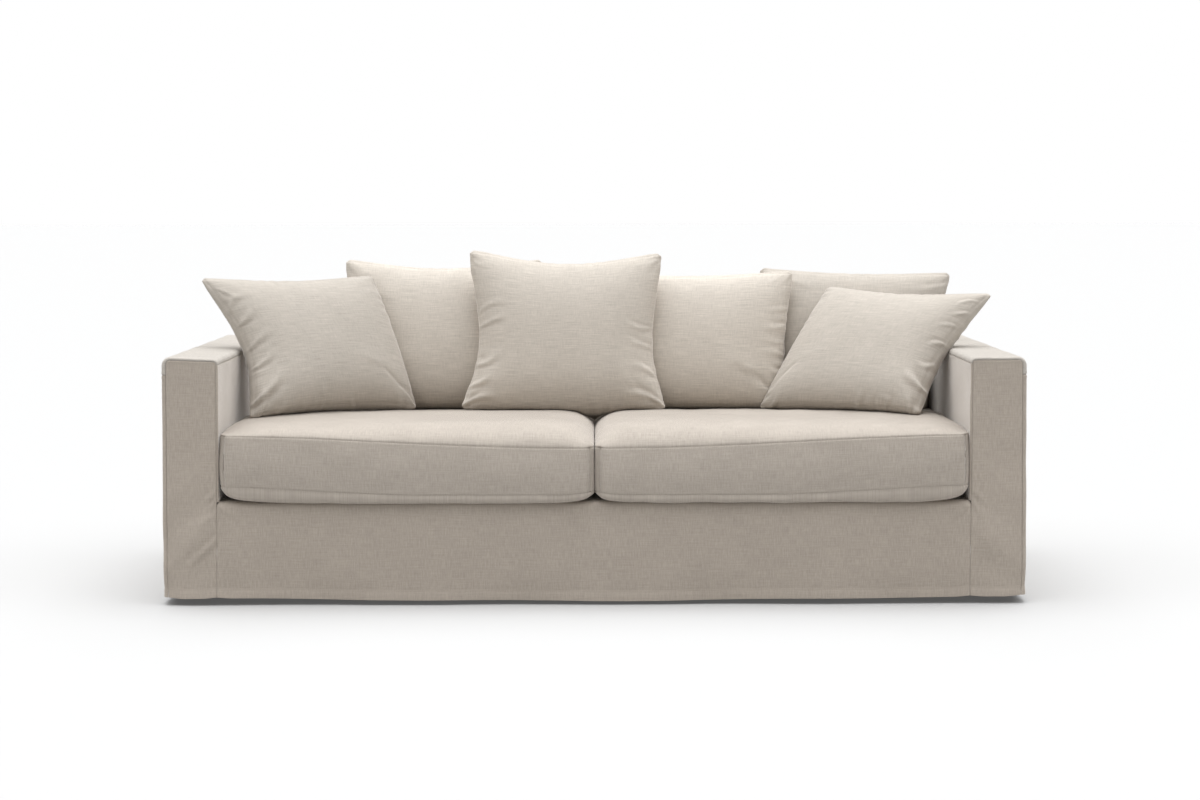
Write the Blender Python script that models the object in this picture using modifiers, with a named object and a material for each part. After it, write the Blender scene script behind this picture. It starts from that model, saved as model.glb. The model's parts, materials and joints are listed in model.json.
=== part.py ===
"""Slipcover set for a long sofa with square arms and a low back.

The body cover is a fitted shell of cut panels, hollow and open underneath. On it lie two
boxed seat cushions, three back cushions and three scatter cushions in the same cloth.
Metres, +Z up. The front faces -Y, and the origin is the middle of the footprint at the hem.
"""

import math

import bmesh
import bpy
from mathutils import Vector
from mathutils.bvhtree import BVHTree

# Body cover, outside sizes
X_OUT = 1.154           # middle to the outer face of an arm
X_IN = 1.004            # middle to the inner face of an arm
HALF_DEPTH = 0.475      # middle to the front and back faces
Z_TOP = 0.661           # top of the arms and the back
Z_DECK = 0.270          # top of the seat platform
BACK_THICKNESS = 0.250  # front to back over the back
Z_SIDE_SEAM = 0.612     # seam between the top bands and the outside panels

# Cloth and seams
CLOTH = 0.002           # thickness of the interlined cloth
SEAM_GAP = 0.0005       # clearance between neighbouring panels
EDGE_RADIUS = 0.009     # roll of the cloth over an edge, up to its seam
SEAM_INSET = 0.012      # from the outer silhouette in to a front or back seam
TOP_INSET = 0.008       # from the top down to a front or back seam
INNER_INSET = 0.005     # from an arm's inner face out to its front seam
TOP_RADIUS_OUT = 0.024  # outer top edge of an arm
TOP_RADIUS_IN = 0.013   # inner top edge of an arm, and front edge of the back
DECK_RADIUS = 0.012     # roll of the skirt into the deck
ROLL_STEPS = 3          # facets in each quarter roll
SEAM_STRIP = 0.005      # narrow facet beside a seam in a front or back panel
# Heights of the rows that neighbouring panels share, up to the hem's fade and above it
HEM_LEVELS = [0.0, 0.025, 0.06, 0.10, 0.15, 0.20, 0.25]
UPPER_LEVELS = [0.34, 0.44, 0.54]

# How the loose cloth hangs
FLARE = 0.004           # the hem stands this far outside the frame line at the front and back
SIDE_SPLAY = 0.0075     # the sides stand this much wider at the hem, and evenly less above it
SPLAY_HEIGHT = 0.62
FLARE_HEIGHT = 0.30
CORNER_ROUND = 0.055    # plan radius of the corners at the hem
HEM_HEIGHT = 0.25       # height over which the hem's rise and fall fades out
HEM_LOW = 0.001         # lowest point of the hem above the origin
HEM_RISE = 0.0075       # rise of the hem from mid-length out to the arms
HEM_RISE_SPAN = (0.15, 1.0)     # where along the length it starts and ends
HEM_FRONT_END = (0.30, 0.40)    # the front hem's own line fades in this far in front of the middle
HEM_NOTCH = 0.003       # lift where the arm and skirt panels are joined
NOTCH_WIDTH = 0.020
HEM_CORNER_LIFT = 0.005
HEM_WAVE = 0.0012
HEM_WAVE_RATE = (9.0, 7.0)      # radians a metre along X and Y
HEM_WAVE_START = 0.9
CORNER_TUCK = 0.005     # a corner of the hem is drawn in by this much
TUCK_HEIGHT = 0.12
SKIRT_WAVE = 0.004      # slow in-and-out of the skirt and side panels at the hem
SIDE_WAVE_RATE = 20.0
SKIRT_WAVE_RATE = 11.0
SKIRT_WAVE_START = 0.7
ARM_FOLD = 0.0030       # diagonal drag folds low on the arm fronts
ARM_FOLD_RATE = (38.0, 30.0)    # radians a metre out and up
ARM_FOLD_START = (0.02, 0.10)   # heights over which they grow, and over which they end
ARM_FOLD_END = (0.20, 0.34)
ARM_FOLD_DEPTH = (0.40, 0.47)   # they stay within this much of the front plane
ARM_FOLD_REACH = (-0.01, 0.05)  # and grow from this near an arm's inner face
RIGHT_ARM_FOLD = 0.6    # the right arm's folds as a share of the left's
ARM_SAG = 0.006         # the arm tops fall inwards
RIGHT_ARM_DROP = 0.004  # the right arm's outer top edge lies this much lower
BACK_SAG = 0.008        # the back's top dips between the arms
BACK_SAG_START = (1.0, 4.0)     # in arm widths from the outer faces
SAG_FLOOR = 0.50        # nothing below this height sags
BACK_SPAN = 0.90        # the evenly spaced bends across the back reach out to here
BACK_BENDS = 10
SKIRT_SPAN = 0.96       # and those across the skirt to here
SKIRT_BENDS = 24

# Seat cushions
SEAT_LENGTH = 0.707     # front seam to back
SEAT_OVERHANG = 0.009   # the front top seam stands this far in front of the skirt
SEAT_FRONT_LEAN = 0.010 # the front low seam stands this much further forward
SEAT_FRONT_LIP = 0.006  # and the bottom panel swells forward of it by this much before it turns under
SEAT_DROOP = 0.004      # where it overhangs the skirt it hangs this far below the platform
SEAT_LIP_SPAN = (-0.80, -1.0)   # the lean and the lip fade in over this stretch of the length
SEAT_FRONT_BULGE = 0.006
SEAT_SIDE_BULGE = 0.004
SEAT_CREST = 0.478      # height of the crown at the front, and at the back
SEAT_CREST_BACK = 0.456
SEAT_TOP_SEAM = 0.452   # height of the top seam away from the front
SEAT_LOW_SEAM = 0.305   # height of the bottom seam away from the front
SEAT_TOP_SEAM_FRONT = 0.4145    # along the front the seams are lowest at the middle of the sofa
SEAT_LOW_SEAM_FRONT = 0.290
SEAT_TOP_SEAM_CLIMB = 0.034     # their climb from there out to the arms
SEAT_LOW_SEAM_CLIMB = 0.024
TOP_CLIMB_SPAN = (0.05, 1.05)   # where along the length each climb starts and ends
LOW_CLIMB_SPAN = (0.45, 1.05)
SEAT_MEETING_LIFT = 0.007       # their lift where the two cushions meet
TOP_MEETING_WIDTH = 0.03
LOW_MEETING_WIDTH = 0.05
SEAT_CORNER = 0.015     # a corner is cut back by this much
CORNER_ACROSS = 0.93            # from these shares of half the width and half the length out
CORNER_ALONG = 0.90
SEAT_FRONT_END = (-1.0, -0.55)  # the front's seam line fades out over this stretch of its length
SEAT_CREST_FALL = (-0.1, 1.1)   # and the crest falls back over this one
SEAT_CROWN_SIDE = 10    # the higher the power, the nearer the seam the crown starts
SEAT_CROWN_FRONT = 5
SEAT_CROWN_UNDER = 60   # under the front
SEAT_CROWN_SOFTNESS = 0.6       # the lower, the rounder the crown turns down to its seam
SEAT_GRID = (14, 9)     # cells across and along
SEAT_LIP_ROW = -0.985   # an extra row along the front
SEAT_BAND_ROWS = 3
PINCH = 0.0002          # half the gap between the two seat cushions

# Loose cushions
CUSHION_GRID = 14
EDGE_FULLNESS = 3.0     # 2 is an ellipse, and more carries the filling out to the edges
BELLY = 0.22            # share of half the height by which the fullest part lies below the middle
PULL_POWER = 1.5        # how closely an edge's drawing in keeps to the middle of the edge
CONTACT_GAP = 0.0010    # clearance kept where a cushion is pressed by its neighbour
PRESS_PASSES = 80
PRESS_REACH = 0.15
PROBE_SPACING = 0.008
LEAST_THICKNESS = 0.004
UP = Vector((0.013, 0.007, 1.0)).normalized()   # a little off the vertical, to miss edges
MOST_HITS = 20          # faces counted above a point
PAST_FACE = 1e-4        # step beyond a face before looking for the next
TOUCHING = 1e-6

# One row for each loose cushion, in the order in which they are laid.
# Its corners (x, y, z), its thickness, how far its edges draw in as a share of half its size, and
# how much more its sides draw in above the lower corners than below the upper ones.
LOOSE_CUSHIONS = [
    {
        "name": "back_cushion_left",
        "top_left": (-0.742, 0.225, 0.901), "top_right": (-0.153, 0.225, 0.900),
        "low_right": (-0.141, 0.140, 0.457), "low_left": (-0.730, 0.140, 0.457),
        "thickness": 0.170, "draw_left": 0.04, "draw_right": 0.04, "draw_top": 0.12, "draw_low": 0.00,
        "ears": 0.1,
    },
    {
        "name": "back_cushion_right",
        "top_left": (0.494, 0.260, 0.872), "top_right": (1.066, 0.225, 0.858),
        "low_right": (0.985, 0.140, 0.457), "low_left": (0.500, 0.170, 0.453),
        "thickness": 0.165, "draw_left": 0.04, "draw_right": 0.05, "draw_top": 0.05, "draw_low": 0.00,
        "ears": 0.1,
    },
    {
        "name": "back_cushion_middle",
        "top_left": (0.016, 0.205, 0.858), "top_right": (0.590, 0.165, 0.866),
        "low_right": (0.562, 0.085, 0.460), "low_left": (0.019, 0.140, 0.457),
        "thickness": 0.165, "draw_left": 0.04, "draw_right": 0.05, "draw_top": 0.05, "draw_low": 0.00,
        "ears": 0.1,
    },
    {
        "name": "scatter_cushion_left",
        "top_left": (-1.122, -0.070, 0.857), "top_right": (-0.650, 0.130, 0.856),
        "low_right": (-0.516, 0.045, 0.467), "low_left": (-0.955, -0.245, 0.467),
        "thickness": 0.175, "draw_left": 0.20, "draw_right": -0.02, "draw_top": 0.07, "draw_low": 0.05,
        "ears": 0.1,
    },
    {
        "name": "scatter_cushion_centre",
        "top_left": (-0.366, 0.110, 0.932), "top_right": (0.198, 0.110, 0.921),
        "low_right": (0.208, 0.010, 0.465), "low_left": (-0.388, 0.010, 0.469),
        "thickness": 0.170, "draw_left": 0.14, "draw_right": 0.11, "draw_top": 0.16, "draw_low": -0.07,
        "ears": 0.5,
    },
    {
        "name": "scatter_cushion_right",
        "top_left": (0.688, 0.145, 0.821), "top_right": (1.137, -0.065, 0.808),
        "low_right": (0.904, -0.230, 0.474), "low_left": (0.478, 0.060, 0.461),
        "thickness": 0.170, "draw_left": 0.00, "draw_right": 0.13, "draw_top": 0.09, "draw_low": 0.00,
        "ears": 0.1,
    },
]

# Name: colour, roughness
FINISHES = {
    "cover_linen": ((0.46, 0.42, 0.37, 1.0), 0.90),
    "seat_linen": ((0.50, 0.455, 0.40, 1.0), 0.90),
    "cushion_linen": ((0.53, 0.48, 0.42, 1.0), 0.90),
}

HALF_GAP = SEAM_GAP / 2
Y_FRONT = -HALF_DEPTH
Y_BACK = HALF_DEPTH
Y_BACK_INSIDE = HALF_DEPTH - BACK_THICKNESS
Z_PANEL_TOP = Z_TOP - TOP_INSET         # top edge of a front or back panel
Z_OUTER_TURN = Z_TOP - TOP_RADIUS_OUT   # where its outer side turns into its round corner
CORNER_ROWS = [Z_OUTER_TURN + (Z_PANEL_TOP - Z_OUTER_TURN) * math.sin(math.pi / 2 * k / ROLL_STEPS)
               for k in range(ROLL_STEPS + 1)]
Z_INNER_SEAM = CORNER_ROWS[-3]          # seam between an arm's top band and its inside panel
Z_INNER_TURN = CORNER_ROWS[-2]          # where its inner side turns into its nearly square corner


def clear_scene():
    for old in list(bpy.data.objects):
        bpy.data.objects.remove(old, do_unlink=True)


def make_finish(name):
    colour, roughness = FINISHES[name]
    finish = bpy.data.materials.new(name)
    finish.use_nodes = True
    shader = finish.node_tree.nodes["Principled BSDF"]
    shader.inputs["Base Color"].default_value = colour
    shader.inputs["Roughness"].default_value = roughness
    shader.inputs["Metallic"].default_value = 0.0
    return finish


def smooth(low, high, value):
    """0 below low, 1 above high, and an S-curve between."""
    share = min(1.0, max(0.0, (value - low) / (high - low)))
    return share * share * (3 - 2 * share)


def beyond(start, value):
    """0 up to start on either side of 0, rising to 1 at -1 and 1."""
    return max(0.0, abs(value) - start) / (1 - start)


def spread(first, last, count):
    """count + 1 evenly spaced values from first to last."""
    return [first + (last - first) * k / count for k in range(count + 1)]


# ---------------------------------------------------------------- how the cloth hangs

def hem_height(x, y):
    """Height of the hem above the origin at a place in plan."""
    front = smooth(*HEM_FRONT_END, -y)
    out = abs(x)
    rise = HEM_RISE * (front * smooth(*HEM_RISE_SPAN, out) + (1 - front))
    notch = HEM_NOTCH * front * math.exp(-((out - X_IN - INNER_INSET) / NOTCH_WIDTH) ** 2)
    wave = HEM_WAVE * math.sin(HEM_WAVE_RATE[0] * x + HEM_WAVE_RATE[1] * y + HEM_WAVE_START)
    return HEM_LOW + HEM_WAVE + rise + notch + wave


def corner_share(x, y):
    """1 at a vertical outside corner, 0 away from it."""
    across = min(1.0, max(0.0, 1 - (X_OUT - abs(x)) / CORNER_ROUND))
    along = min(1.0, max(0.0, 1 - (HALF_DEPTH - abs(y)) / CORNER_ROUND))
    return across * along


def drape(point):
    """Where a point of the tailored shell hangs once the cover is on."""
    x, y, z = point
    low = max(0.0, 1 - z / FLARE_HEIGHT) ** 2
    corner = corner_share(x, y)
    inward = CORNER_TUCK * corner * max(0.0, 1 - z / TUCK_HEIGHT) ** 2
    side_wave = math.sin(SIDE_WAVE_RATE * (y + HALF_DEPTH)) * smooth(X_IN, X_OUT, abs(x))
    splay = SIDE_SPLAY * max(0.0, 1 - z / SPLAY_HEIGHT) * (1.0 if x < 0 else smooth(X_IN, X_OUT, x))
    out_x = splay + SKIRT_WAVE * low * side_wave
    out_y = low * (FLARE + SKIRT_WAVE * math.sin(SKIRT_WAVE_RATE * x + SKIRT_WAVE_START))
    side = math.copysign(1.0, x)
    new_x = x * (1 + out_x / X_OUT) - side * inward
    new_y = y * (1 + out_y / HALF_DEPTH) - math.copysign(inward, y)
    new_z = z + (hem_height(x, y) + HEM_CORNER_LIFT * corner) * max(0.0, 1 - z / HEM_HEIGHT) ** 2
    on_front = smooth(*ARM_FOLD_DEPTH, -y) * smooth(*ARM_FOLD_REACH, abs(x) - X_IN)
    folds = smooth(*ARM_FOLD_START, z) * (1 - smooth(*ARM_FOLD_END, z)) * (1.0 if x < 0 else RIGHT_ARM_FOLD)
    new_y -= ARM_FOLD * on_front * folds * math.sin(ARM_FOLD_RATE[0] * abs(x) + ARM_FOLD_RATE[1] * z)
    fall = (X_OUT - abs(x)) / (X_OUT - X_IN)
    sag = ARM_SAG * min(1.0, fall) + (BACK_SAG - ARM_SAG) * smooth(*BACK_SAG_START, fall)
    sag += RIGHT_ARM_DROP * smooth(X_IN, X_OUT, x)
    new_z -= sag * smooth(SAG_FLOOR, Z_TOP, z)
    return Vector((new_x, new_y, new_z))


# ---------------------------------------------------------------- sheets

def quarter_roll():
    """(share of the inset, share of the radius behind the seam plane), from the seam round the edge."""
    rolled = EDGE_RADIUS / SEAM_INSET
    steps = [(1.0, 0.0)]
    for k in range(ROLL_STEPS + 1):
        angle = math.pi / 2 * k / ROLL_STEPS
        steps.append((rolled * (1 - math.sin(angle)), 1 - math.cos(angle)))
    return steps


def make_object(name, mesh, collection, finish):
    obj = bpy.data.objects.new(name, mesh)
    mesh.materials.append(finish)
    collection.objects.link(obj)
    return obj


def cloth_panel(name, bm, outward, collection, finish):
    """A panel from its outer face, turned to look outward. Its thickness goes inwards."""
    bm.normal_update()
    facing = sum((f.normal * f.calc_area() for f in bm.faces), Vector())
    if facing.dot(Vector(outward)) < 0:
        bmesh.ops.reverse_faces(bm, faces=bm.faces[:])
    mesh = bpy.data.meshes.new(name)
    bm.to_mesh(mesh)
    bm.free()
    mesh.shade_smooth()
    obj = make_object(name, mesh, collection, finish)
    wall = obj.modifiers.new("thickness", "SOLIDIFY")
    wall.thickness = CLOTH
    wall.offset = -1.0
    wall.use_even_offset = True


def fill_strip(bm, above, below):
    for k in range(len(above) - 1):
        bm.faces.new((above[k], above[k + 1], below[k + 1], below[k]))


def draped_grid(bm, rows):
    """Faces between rows of tailored points, hung as the cloth hangs. Gives the grid of corners."""
    grid = [[bm.verts.new(drape(point)) for point in row] for row in rows]
    for above, below in zip(grid, grid[1:]):
        fill_strip(bm, above, below)
    return grid


def sheet(name, rows, outward, collection, finish):
    bm = bmesh.new()
    draped_grid(bm, rows)
    cloth_panel(name, bm, outward, collection, finish)


def side_section(x_side, inner):
    """Half of a top band's cross-section, from its side seam up and over to the flat top.

    Gives pairs of points: on the body of the band, and on its seam in a front or back plane.
    """
    radius = TOP_RADIUS_IN if inner else TOP_RADIUS_OUT
    inset = INNER_INSET if inner else SEAM_INSET
    inward = 1 if inner else -1
    z_seam = Z_INNER_SEAM if inner else Z_SIDE_SEAM
    z_turn = Z_INNER_TURN if inner else Z_OUTER_TURN
    section = [((x_side, z_seam + HALF_GAP), (x_side + inward * inset, z_seam + HALF_GAP))]
    for k in range(ROLL_STEPS + 1):
        angle = math.pi / 2 * k / ROLL_STEPS
        turn, climb = 1 - math.cos(angle), math.sin(angle)
        rise = turn if inner else climb
        body = (x_side + inward * radius * turn, Z_TOP - radius * (1 - climb))
        seam = (x_side + inward * (inset + (radius - inset) * turn), z_turn + (Z_PANEL_TOP - z_turn) * rise)
        section.append((body, seam))
    return section


def arm_section():
    """A right arm's band from its outer side seam over the top to its inner one."""
    over = side_section(X_OUT, inner=False)
    under = side_section(X_IN, inner=True)
    flat = []
    for share in (1 / 3, 2 / 3):
        x = over[-1][0][0] + (under[-1][0][0] - over[-1][0][0]) * share
        flat.append(((x, Z_TOP), (x, Z_PANEL_TOP)))
    return over + flat + under[::-1]


def outline_point(pair, share):
    """Between a body point and its seam point, by share of the inset."""
    (bx, bz), (sx, sz) = pair
    return bx + (sx - bx) * share, bz + (sz - bz) * share


def arm_top(side, collection, finish):
    section = arm_section()
    rows = []
    for inset, back in quarter_roll():
        gap = HALF_GAP / SEAM_INSET if inset == 1.0 else 0.0
        points = [outline_point(pair, inset - gap) for pair in section]
        rows.append([(side * x, Y_FRONT + EDGE_RADIUS * back, z) for x, z in points])
    for y in spread(Y_FRONT + EDGE_RADIUS, Y_BACK_INSIDE - HALF_GAP, 8)[1:]:
        rows.append([(side * pair[0][0], y, pair[0][1]) for pair in section])
    sheet(f"arm_top_{name_of(side)}", rows, (0, 0, 1), collection, finish)


def name_of(side):
    return "right" if side > 0 else "left"


def arm_outside(side, collection, finish):
    """The side panel, wrapped round to a seam in the front plane and one in the back plane."""
    plan = []
    for inset, back in quarter_roll():
        gap = HALF_GAP if inset == 1.0 else 0.0
        plan.append((X_OUT - SEAM_INSET * inset + gap, Y_FRONT + EDGE_RADIUS * back))
    for y in spread(Y_FRONT + EDGE_RADIUS, Y_BACK - EDGE_RADIUS, 10)[1:-1]:
        plan.append((X_OUT, y))
    plan += [(x, -y) for x, y in plan[ROLL_STEPS + 1::-1]]
    levels = HEM_LEVELS + UPPER_LEVELS + [Z_SIDE_SEAM - HALF_GAP]
    rows = [[(side * x, y, z) for x, y in plan] for z in levels]
    sheet(f"arm_outside_{name_of(side)}", rows, (side, 0, 0), collection, finish)


def arm_inside(side, collection, finish):
    plan = []
    for inset, back in quarter_roll():
        gap = HALF_GAP if inset == 1.0 else 0.0
        plan.append((X_IN + INNER_INSET * inset - gap, Y_FRONT + EDGE_RADIUS * back))
    for y in spread(Y_FRONT + EDGE_RADIUS, Y_BACK_INSIDE + CLOTH, 7)[1:]:
        plan.append((X_IN, y))
    levels = spread(Z_DECK + SEAM_GAP, Z_INNER_SEAM - HALF_GAP, 4)
    rows = [[(side * x, y, z) for x, y in plan] for z in levels]
    sheet(f"arm_inside_{name_of(side)}", rows, (-side, 0, 0), collection, finish)


def panel_edge(section, z):
    """Where a front outline's side stands at a height."""
    seam = [pair[1] for pair in section]
    for (x0, z0), (x1, z1) in zip(seam, seam[1:]):
        if z0 <= z <= z1:
            return x0 + (x1 - x0) * (z - z0) / (z1 - z0)
    return seam[0][0]


def panel_levels():
    """Heights of a front or back panel's rows, with one at each facet of its top corners."""
    return HEM_LEVELS + UPPER_LEVELS + CORNER_ROWS[:-1] + [Z_PANEL_TOP - HALF_GAP]


def arm_front(side, collection, finish):
    outer = side_section(X_OUT, inner=False)
    inner = side_section(X_IN, inner=True)
    rows = []
    for z in panel_levels():
        x0 = panel_edge(inner, z + HALF_GAP) + HALF_GAP
        x1 = panel_edge(outer, z + HALF_GAP) - HALF_GAP
        strip = min(SEAM_STRIP, (x1 - x0) / 8)
        across = [x0] + spread(x0 + strip, x1 - strip, 5) + [x1]
        rows.append([(side * x, Y_FRONT, z) for x in across])
    sheet(f"arm_front_{name_of(side)}", rows, (0, -1, 0), collection, finish)


def back_columns():
    """Places across the back at which its panels bend, out to where the arms begin."""
    split = X_IN - SEAM_GAP
    return [-split] + spread(-BACK_SPAN, BACK_SPAN, BACK_BENDS) + [split]


def back_outside(collection, finish):
    outer = side_section(X_OUT, inner=False)
    rows = []
    for z in panel_levels():
        edge = panel_edge(outer, z + HALF_GAP) - HALF_GAP
        across = [-edge, SEAM_STRIP - edge] + back_columns() + [edge - SEAM_STRIP, edge]
        rows.append([(x, Y_BACK, z) for x in across])
    sheet("back_outside", rows, (0, 1, 0), collection, finish)


def back_top(collection, finish):
    """The band over the back. It runs out over both arms and rolls down in front between them."""
    right = side_section(X_OUT, inner=False)
    middle = [((x, Z_TOP), (x, Z_PANEL_TOP)) for x in back_columns()]
    left = [((-bx, bz), (-sx, sz)) for (bx, bz), (sx, sz) in right]
    section = left + middle + right[::-1]
    rows = []
    for inset, back in quarter_roll():
        gap = HALF_GAP / SEAM_INSET if inset == 1.0 else 0.0
        points = [outline_point(pair, inset - gap) for pair in section]
        rows.append([(x, Y_BACK - EDGE_RADIUS * back, z) for x, z in points])
    roll_start = Y_BACK_INSIDE + TOP_RADIUS_IN
    for y in spread(Y_BACK - EDGE_RADIUS, roll_start, 3)[1:]:
        rows.append([(pair[0][0], y, pair[0][1]) for pair in section])
    bm = bmesh.new()
    flat = draped_grid(bm, rows)[-1]
    first, last = len(left), len(left) + len(middle) - 1
    arm_seam = Y_BACK_INSIDE + HALF_GAP
    for start, end in ((0, first + 1), (last, len(section))):
        ends = [bm.verts.new(drape((x, arm_seam, z))) for (x, z), _ in section[start:end]]
        fill_strip(bm, flat[start:end], ends)
    front = []
    for k in range(1, ROLL_STEPS + 1):
        angle = math.pi / 2 * k / ROLL_STEPS
        front.append((roll_start - TOP_RADIUS_IN * math.sin(angle),
                      Z_TOP - TOP_RADIUS_IN * (1 - math.cos(angle))))
    front.append((Y_BACK_INSIDE, Z_INNER_SEAM + HALF_GAP))
    above = flat[first:last + 1]
    for y, z in front:
        below = [bm.verts.new(drape((x, y, z))) for (x, _), _ in section[first:last + 1]]
        fill_strip(bm, above, below)
        above = below
    cloth_panel("back_top", bm, (0, 0, 1), collection, finish)


def back_inside(collection, finish):
    rows = []
    for z in spread(Z_DECK + SEAM_GAP, Z_INNER_SEAM - HALF_GAP, 4):
        rows.append([(x, Y_BACK_INSIDE, z) for x in back_columns()])
    sheet("back_inside", rows, (0, -1, 0), collection, finish)


def front_skirt(collection, finish):
    """From the hem up the front, rolled over to a seam with the deck."""
    edge = X_IN + INNER_INSET - HALF_GAP
    bends = spread(-SKIRT_SPAN, SKIRT_SPAN, SKIRT_BENDS)
    across = [-edge, -edge + SEAM_STRIP] + bends + [edge - SEAM_STRIP, edge]
    profile = [(Y_FRONT, z) for z in HEM_LEVELS]
    for k in range(1, ROLL_STEPS + 1):
        angle = math.pi / 2 * k / ROLL_STEPS
        profile.append((Y_FRONT + DECK_RADIUS * (1 - math.cos(angle)),
                        Z_DECK - DECK_RADIUS * (1 - math.sin(angle))))
    profile.append((Y_FRONT + 2 * DECK_RADIUS, Z_DECK))
    rows = [[(x, y, z) for x in across] for y, z in profile]
    sheet("front_skirt", rows, (0, -1, 0), collection, finish)


def deck(collection, finish):
    """The flat seat platform, from the skirt's seam to behind the inside back."""
    low = (-X_IN - CLOTH, Y_FRONT + 2 * DECK_RADIUS + SEAM_GAP, Z_DECK - CLOTH)
    high = (X_IN + CLOTH, Y_BACK_INSIDE + CLOTH, Z_DECK)
    bm = bmesh.new()
    bmesh.ops.create_cube(bm, size=1.0)
    for v in bm.verts:
        v.co = Vector([high[k] if v.co[k] > 0 else low[k] for k in range(3)])
    mesh = bpy.data.meshes.new("deck")
    bm.to_mesh(mesh)
    bm.free()
    make_object("deck", mesh, collection, finish)


# ---------------------------------------------------------------- cushions

def edges_of(faces):
    return sorted({tuple(sorted((face[k], face[k - 1]))) for face in faces for k in range(len(face))})


class Support:
    """A closed or nearly closed surface that a cushion is pressed against."""

    def __init__(self, points, faces):
        self.tree = BVHTree.FromPolygons(points, faces)
        self.probes = [point.copy() for point in points]
        for a, b in edges_of(faces):
            count = math.ceil((points[a] - points[b]).length / PROBE_SPACING)
            self.probes += [points[a].lerp(points[b], k / count) for k in range(1, count)]

    def holds(self, point):
        """True inside, by counting the faces above the point."""
        start, hits = point.copy(), 0
        while hits < MOST_HITS:
            spot = self.tree.ray_cast(start, UP)[0]
            if spot is None:
                break
            hits += 1
            start = spot + UP * PAST_FACE
        return hits % 2 == 1

    def nearest(self, point, reach):
        """(spot, face, outward direction at the point, depth inside), or None beyond reach."""
        spot, normal, face, distance = self.tree.find_nearest(point, reach)
        if spot is None:
            return None
        inside = self.holds(point)
        if distance > TOUCHING:
            away = (spot - point) / distance if inside else (point - spot) / distance
        else:
            away = normal
        return spot, face, away, distance if inside else -distance


def press(points, faces, supports, pairs=()):
    """Push a cushion's surface out of its neighbours, as soft filling gives way.

    pairs are (front, back) points that stay at least LEAST_THICKNESS apart.
    """
    samples = [(k,) for k in range(len(points))] + edges_of(faces) + [tuple(face) for face in faces]
    middles = [(a, b, (points[a] - points[b]).normalized()) for a, b in pairs]
    low = Vector([min(p[k] for p in points) - CONTACT_GAP for k in range(3)])
    high = Vector([max(p[k] for p in points) + CONTACT_GAP for k in range(3)])
    probes = [probe for support in supports for probe in support.probes
              if all(low[k] <= probe[k] <= high[k] for k in range(3))]
    for _ in range(PRESS_PASSES):
        moves = {}

        def ask(corners, move):
            for k in corners:
                if k not in moves or moves[k].length < move.length:
                    moves[k] = move

        for sample in samples:
            middle = sum((points[k] for k in sample), Vector()) / len(sample)
            for support in supports:
                found = support.nearest(middle, PRESS_REACH)
                if found and found[3] > -CONTACT_GAP:
                    ask(sample, found[2] * (found[3] + CONTACT_GAP))
        own = Support(points, faces)
        for probe in probes:
            found = own.nearest(probe, PRESS_REACH)
            if found and found[3] > -CONTACT_GAP:
                ask(faces[found[1]], -found[2] * (found[3] + CONTACT_GAP))
        for k, move in moves.items():
            points[k] += move
        for front, back, facing in middles:
            apart = (points[front] - points[back]).dot(facing)
            if apart < LEAST_THICKNESS:
                points[front] += facing * (LEAST_THICKNESS - apart)
        if not moves:
            break
    return points


def closed_object(name, points, faces, collection, finish):
    mesh = bpy.data.meshes.new(name)
    mesh.from_pydata([tuple(p) for p in points], [], faces)
    mesh.validate()
    mesh.shade_smooth()
    make_object(name, mesh, collection, finish)


def triangles(quad):
    a, b, c, d = quad
    return [(a, b, c), (a, c, d)]


def front_top_seam(x):
    climb = SEAT_TOP_SEAM_CLIMB * smooth(*TOP_CLIMB_SPAN, abs(x))
    return SEAT_TOP_SEAM_FRONT + climb + SEAT_MEETING_LIFT * math.exp(-(x / TOP_MEETING_WIDTH) ** 2)


def front_low_seam(x):
    climb = SEAT_LOW_SEAM_CLIMB * smooth(*LOW_CLIMB_SPAN, abs(x))
    return SEAT_LOW_SEAM_FRONT + climb + SEAT_MEETING_LIFT * math.exp(-(x / LOW_MEETING_WIDTH) ** 2)


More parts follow.
